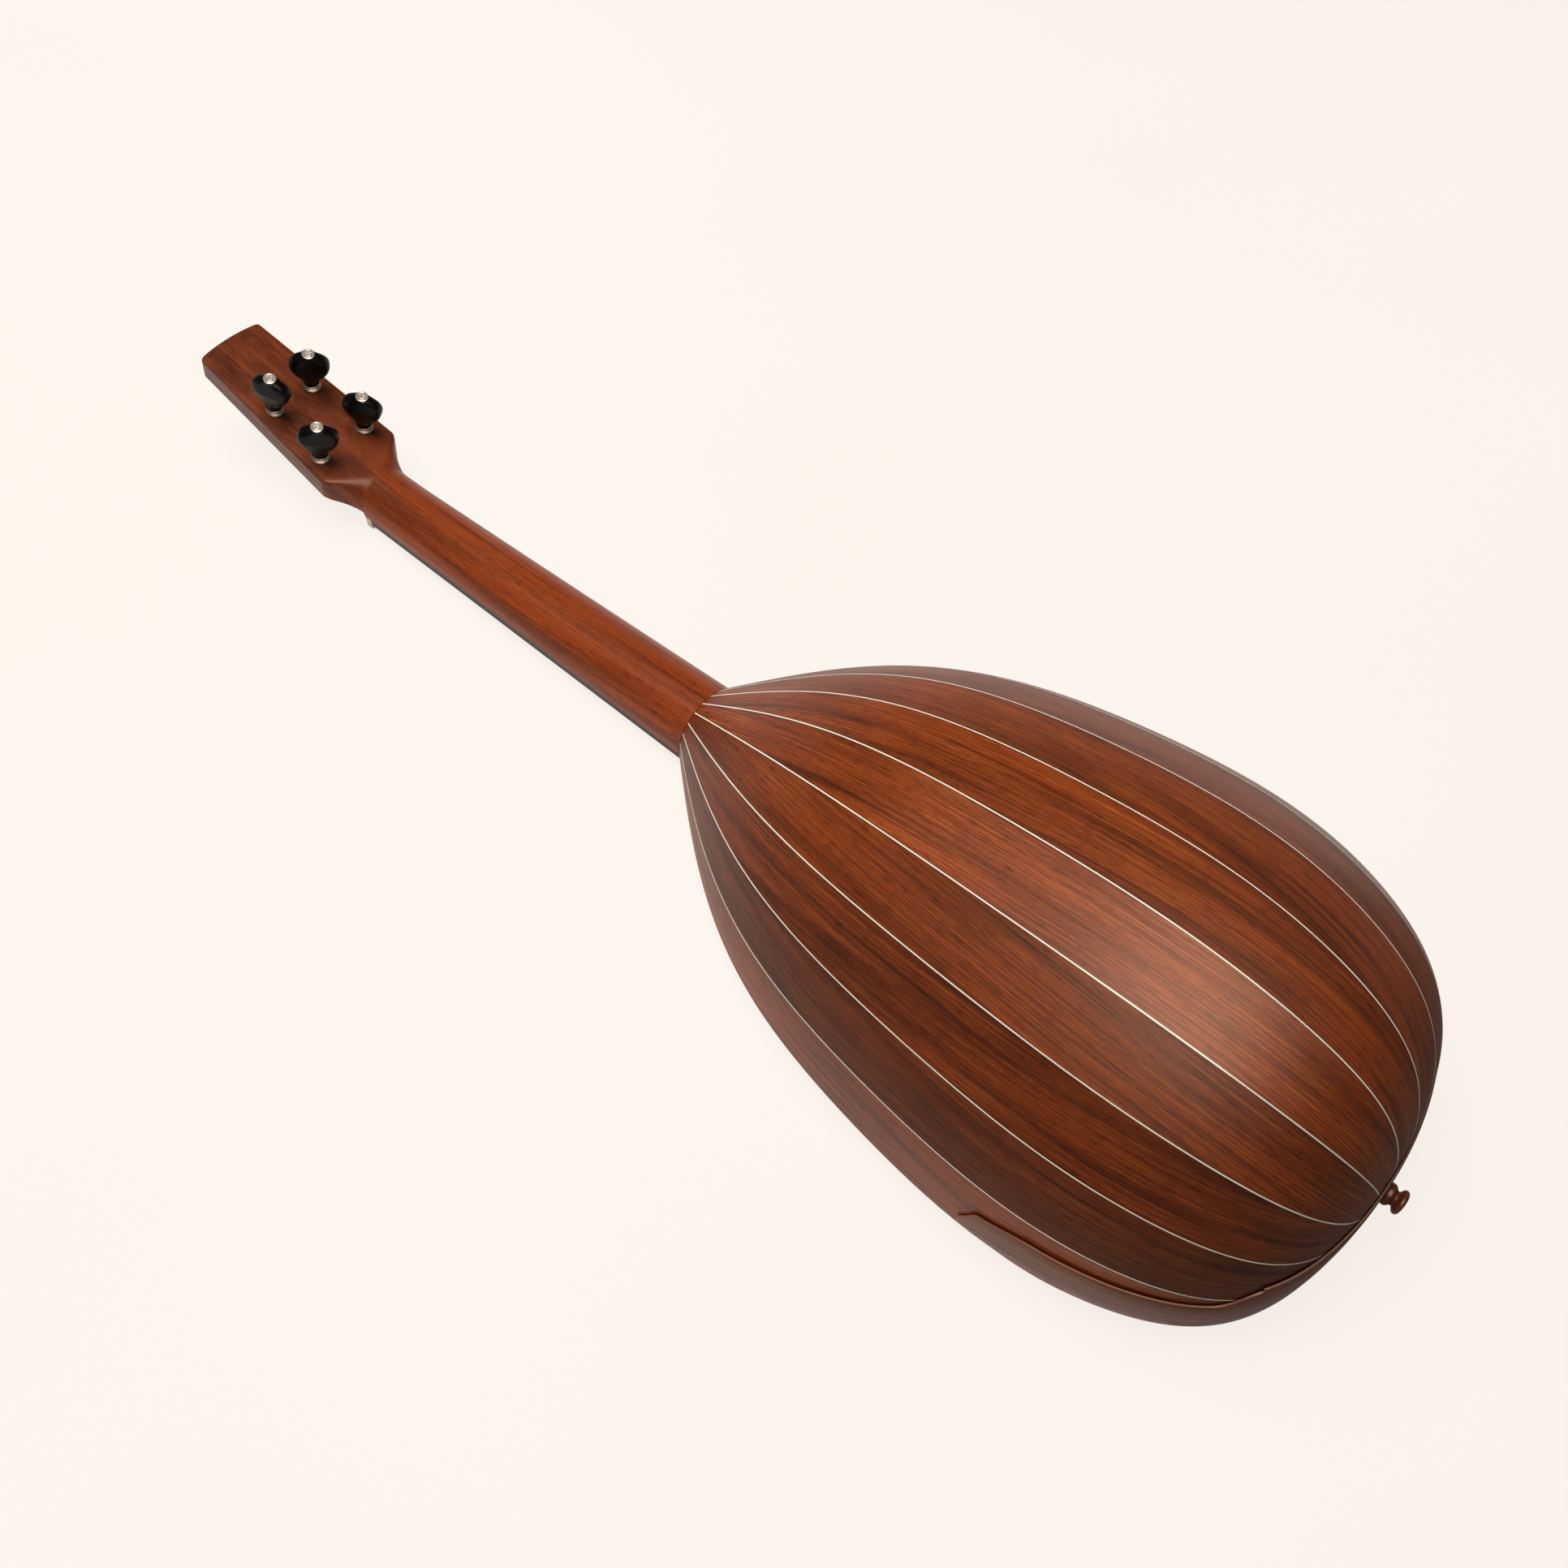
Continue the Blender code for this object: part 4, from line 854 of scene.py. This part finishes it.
def screw_head(seat):
    # A turned disc shaped to a dome with a rim groove and a cross recess; its rim stays as turned.
    discs = [(max(SCREW_RADIUS * i / 24, SCREW_CORE), seat + SCREW_HEIGHT) for i in range(25)]
    rim = [(SCREW_RADIUS, seat + SCREW_HEIGHT * SCREW_RIM), (SCREW_RADIUS * SCREW_TAPER, seat)]
    bm = spun(discs + rim, 72)
    for vert in bm.verts:
        x, y, z = vert.co
        if z < seat + SCREW_HEIGHT * (1 + SCREW_RIM) / 2:
            continue
        out = math.hypot(x, y) / SCREW_RADIUS
        height = SCREW_HEIGHT * (1 - SCREW_DOME * out ** DOME_POWER)
        height -= GROOVE_DEPTH * math.exp(-((out - GROOVE_AT) / GROOVE_WIDTH) ** 2)
        arm = ease((CROSS_HALF - min(abs(x), abs(y))) / CROSS_SLOPE)
        height -= CROSS_DEPTH * arm * ease((CROSS_REACH - out) / CROSS_FADE)
        vert.co.z = seat + height
    return bm


top = HEAD_THICKNESS + COLLAR_HEIGHT
base = top + PART_GAP
seat = base + BUTTON_HEIGHT + FIT_GAP
end = -POST_PROUD
post = [(TURNED_CORE, end), (POST_RADIUS, end), (POST_RADIUS, end + WAIST_FROM),
        (POST_WAIST, end + WAIST_FROM + WAIST_SLOPE), (POST_WAIST, end + WAIST_TO - WAIST_SLOPE),
        (POST_RADIUS, end + WAIST_TO), (POST_RADIUS, top), (TURNED_CORE, top)]
coil = []
for i in range(24 * WINDING_TURNS + 1):
    t = 2 * math.pi * i / 24
    reach = POST_WAIST + STRING_RADIUS
    height = end + WINDING_AT + WINDING_LENGTH * i / (24 * WINDING_TURNS)
    coil.append(Vector((reach * math.cos(t), reach * math.sin(t), height)))
low = HEAD_THICKNESS + PART_GAP
step = HEAD_THICKNESS + COLLAR_HEIGHT * COLLAR_STEP_AT
collar = [(HOLE_RADIUS, low)]
collar += [(COLLAR_WIDE - inset, low + rise) for inset, rise in COLLAR_FOOT]
collar.append((COLLAR_WIDE - COLLAR_TAPER, step))
collar += [(COLLAR_NEAT - inset, step + rise) for inset, rise in COLLAR_NECK]
collar += [(COLLAR_NEAT - inset, top - drop) for inset, drop in COLLAR_LIP]
collar.append((HOLE_RADIUS, top))
low = -PART_GAP - BUSHING_HEIGHT
bushing = [(HOLE_RADIUS, -PART_GAP), (BUSHING_RADIUS, -PART_GAP), (BUSHING_RADIUS - BUSHING_TAPER, low),
           (HOLE_RADIUS, low)]
post = rounded(post, POST_EDGE)
collar = rounded(collar, COLLAR_EDGE, 3, True)
bushing = rounded(bushing, BUSHING_EDGE, 4, True)
for k in PEGS:
    body = "peg_%d" % k
    turned = head_place(k)
    still = head_place(k, False)
    loft("button_skin_%d" % k, button_rings(base), black, body, (body + "_button",), place=turned,
         smooth_to=80.0)
    put("screw_skin_%d" % k, set_at(screw_head(seat), turned), bright, body, (body + "_screw",), 50.0)
    put("post_skin_%d" % k, set_at(spun(post), turned), nickel, body, (body + "_post",))
    loft("winding_%d" % k, tube(coil, STRING_RADIUS, 8), nylon, body, place=turned)
    put("collar_skin_%d" % k, set_at(spun(collar, closed=True), still), nickel, "instrument",
        (body + "_collar",), 60.0)
    put("bushing_skin_%d" % k, set_at(spun(bushing, closed=True), still), nickel, "instrument",
        (body + "_bushing",), 60.0)

# Turned end button: radius, and the share of its length there
END_BUTTON_SHAPE = (
    (TURNED_CORE, 0.0), (END_BUTTON_BASE_RADIUS * 0.94, 0.0), (END_BUTTON_BASE_RADIUS, 0.10),
    (END_BUTTON_BASE_RADIUS, 0.26), (END_BUTTON_BASE_RADIUS * 0.88, 0.36),
    (END_BUTTON_WAIST_RADIUS * 1.06, 0.45), (END_BUTTON_WAIST_RADIUS, 0.54),
    (END_BUTTON_WAIST_RADIUS * 1.15, 0.60), (END_BUTTON_HEAD_RADIUS * 0.86, 0.66),
    (END_BUTTON_HEAD_RADIUS, 0.75), (END_BUTTON_HEAD_RADIUS, 0.86), (END_BUTTON_HEAD_RADIUS * 0.90, 0.95),
    (END_BUTTON_FACE_RADIUS, 1.0), (TURNED_CORE, 1.0))
start = Vector((BODY_LENGTH + CLASP_SEAT_GAP + CLASP_THICKNESS + PART_GAP, 0.0, END_BUTTON_HEIGHT))
axis = Matrix.Translation(start + SHIFT) @ Matrix.Rotation(math.pi / 2, 4, "Y")
# Skinned by rings, because its grain follows the turned surface
turns = [2 * math.pi * i / 64 for i in range(64)]
rings = []
for r, h in rounded([(r, f * END_BUTTON_LENGTH) for r, f in END_BUTTON_SHAPE], END_BUTTON_EDGE):
    rings.append([(r * math.cos(t), r * math.sin(t), h) for t in turns])
loft("end_button_skin", rings, buttonwood, nodes=("end_button",), place=lambda p: axis @ Vector(p))

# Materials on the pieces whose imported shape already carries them
for names, mat in ((("brace_upper", "brace_lower", "neck_block", "tail_block"), bare),
                   (["string_%d" % k for k in range(1, 5)], nylon)):
    for name in names:
        NODES[name].data.materials.clear()
        NODES[name].data.materials.append(mat)

# Floor
FLOOR_HALF = 6.0
PAPER_GLOW = 1.03
PAPER_SHARE = 0.88
# What the lacquer mirrors of the paper: bright round this place, faded between these reaches, then this low
MIRROR_MIDDLE = (0.20, 0.0, 0.0)
MIRROR_SQUEEZE = (1.55, 1.0, 1.0)
MIRROR_FADE = (0.18, 0.28)
MIRROR_LOW = 0.06
UNBOUND = 9.0
bm = bmesh.new()
bmesh.ops.create_grid(bm, x_segments=1, y_segments=1, size=FLOOR_HALF)
mesh = bpy.data.meshes.new("floor")
bm.to_mesh(mesh)
bm.free()
floor = bpy.data.objects.new("floor", mesh)
floor.location.z = -FLOOR_DROP
bpy.context.scene.collection.objects.link(floor)
# Pale paper that glows to the camera and in what mirrors it, with clouds half a metre wide
paper, tree, shader = surface("paper_sweep")
place = add(tree, "TexCoord").outputs["Object"]
clouds = add(tree, "TexNoise", Vector=place, Scale=2.0).outputs[0]
tone = add(tree, "ValToRGB", stops=((0.3, "#FAF4ED"), (0.7, "#FBF6F0")), i0=clouds).outputs[0]
feed(tree, shader, Base_Color=tone, Roughness=0.95, Specular_IOR_Level=0.0)
# What the lacquer mirrors of the paper darkens past the tail and the near side, where the pale room ends
for job, value in (("SUBTRACT", MIRROR_MIDDLE), ("MULTIPLY", MIRROR_SQUEEZE),
                   ("MAXIMUM", (0.0, -UNBOUND, 0.0)), ("MINIMUM", (UNBOUND, 0.0, 0.0))):
    place = add(tree, "VectorMath", {"operation": job}, i0=place, i1=value).outputs[0]
away = add(tree, "VectorMath", {"operation": "LENGTH"}, i0=place).outputs["Value"]
ends = add(tree, "MapRange", Value=away, From_Min=MIRROR_FADE[0], From_Max=MIRROR_FADE[1],
           To_Min=PAPER_GLOW, To_Max=MIRROR_LOW).outputs[0]
path = add(tree, "LightPath").outputs
power = add(tree, "Mix", i0=path["Is Glossy Ray"], i2=PAPER_GLOW, i3=ends).outputs[0]
glow = add(tree, "Emission", Color=tone, Strength=power).outputs[0]
rays = path["Is Camera Ray"]
for kind in ("Is Glossy Ray", "Is Transmission Ray"):
    rays = add(tree, "Math", {"operation": "MAXIMUM"}, i0=rays, i1=path[kind]).outputs[0]
seen = add(tree, "Math", {"operation": "MULTIPLY"}, i0=rays, i1=PAPER_SHARE).outputs[0]
blend = add(tree, "MixShader", i0=seen, i1=shader.outputs[0], i2=glow).outputs[0]
feed(tree, tree.nodes["Material Output"], Surface=blend)
mesh.materials.append(paper)

# Light: a pale room, dimmer overhead, past the tail and on the near side, with a soft key that shows in the
# lacquer over the tail and a soft fill over the neck
ROOM_POWER = 0.88
DIM_TOWARD = (0.9, -0.45, 0.0)
world = bpy.data.worlds.new("studio_room")
bpy.context.scene.world = world
world.use_nodes = True
tree = world.node_tree
toward = add(tree, "TexCoord").outputs["Generated"]
rise = add(tree, "SeparateXYZ", Vector=toward).outputs[2]
room = add(tree, "ValToRGB", stops=((0.0, "#FFF9F2"), (0.20, "#A09A95"), (0.5, "#34312F")),
           i0=rise).outputs[0]
facing = add(tree, "VectorMath", {"operation": "DOT_PRODUCT"}, i0=toward,
             i1=DIM_TOWARD).outputs["Value"]
dim = add(tree, "ValToRGB", stops=((0.0, 1.0), (0.45, 0.14)), i0=facing).outputs[0]
room = add(tree, "Mix", MULTIPLY, i0=1.0, i6=room, i7=dim).outputs[2]
seen = add(tree, "LightPath").outputs["Is Camera Ray"]
colour = add(tree, "Mix", BLEND, i0=seen, i6=room, i7=srgb("#FBF5EE")).outputs[2]
power = add(tree, "MapRange", Value=seen, To_Min=ROOM_POWER, To_Max=1.0).outputs[0]
feed(tree, tree.nodes["Background"], Color=colour, Strength=power)


def lamp(name, place, turn, size, power, tint, mirrored):
    # A soft lamp, tipped by turn in degrees, that is either mirrored in the lacquer or lights the colours.
    data = bpy.data.lights.new(name, "AREA")
    data.shape = "RECTANGLE"
    data.size = size[0]
    data.size_y = size[1]
    data.energy = power
    data.color = srgb(tint)[:3]
    item = bpy.data.objects.new(name, data)
    item.location = place
    item.rotation_euler = [math.radians(angle) for angle in turn]
    item.visible_glossy = mirrored
    item.visible_diffuse = not mirrored
    bpy.context.scene.collection.objects.link(item)


lamp("soft_key", (0.58, -0.29, 1.65), (10.0, 8.0, 0.0), (1.3, 1.3), 48.0, "#FFE8CE", True)
lamp("soft_fill", (-0.50, -0.12, 1.75), (4.0, -19.0, 0.0), (1.4, 1.4), 37.5, "#FFEEDC", False)

# Camera: the photograph's view, with the lens in millimetres; right, down and ahead are its own axes
data = bpy.data.cameras.new("photo_view")
data.sensor_width = 36.0
data.lens = 32.2368
data.clip_start = 0.01
eye = bpy.data.objects.new("photo_view", data)
right = Vector((0.7716348, 0.6350337, 0.0362205))
down = Vector((0.5494008, -0.6367211, -0.5410592))
ahead = Vector((-0.3205285, 0.4373997, -0.8402042))
spot = Vector((0.2735938, -0.3043709, 0.5806415)) + SHIFT
eye.matrix_world = Matrix((
    (right.x, -down.x, -ahead.x, spot.x),
    (right.y, -down.y, -ahead.y, spot.y),
    (right.z, -down.z, -ahead.z, spot.z),
    (0.0, 0.0, 0.0, 1.0)))
bpy.context.scene.collection.objects.link(eye)
bpy.context.scene.camera = eye
bpy.context.scene.view_settings.view_transform = "Standard"
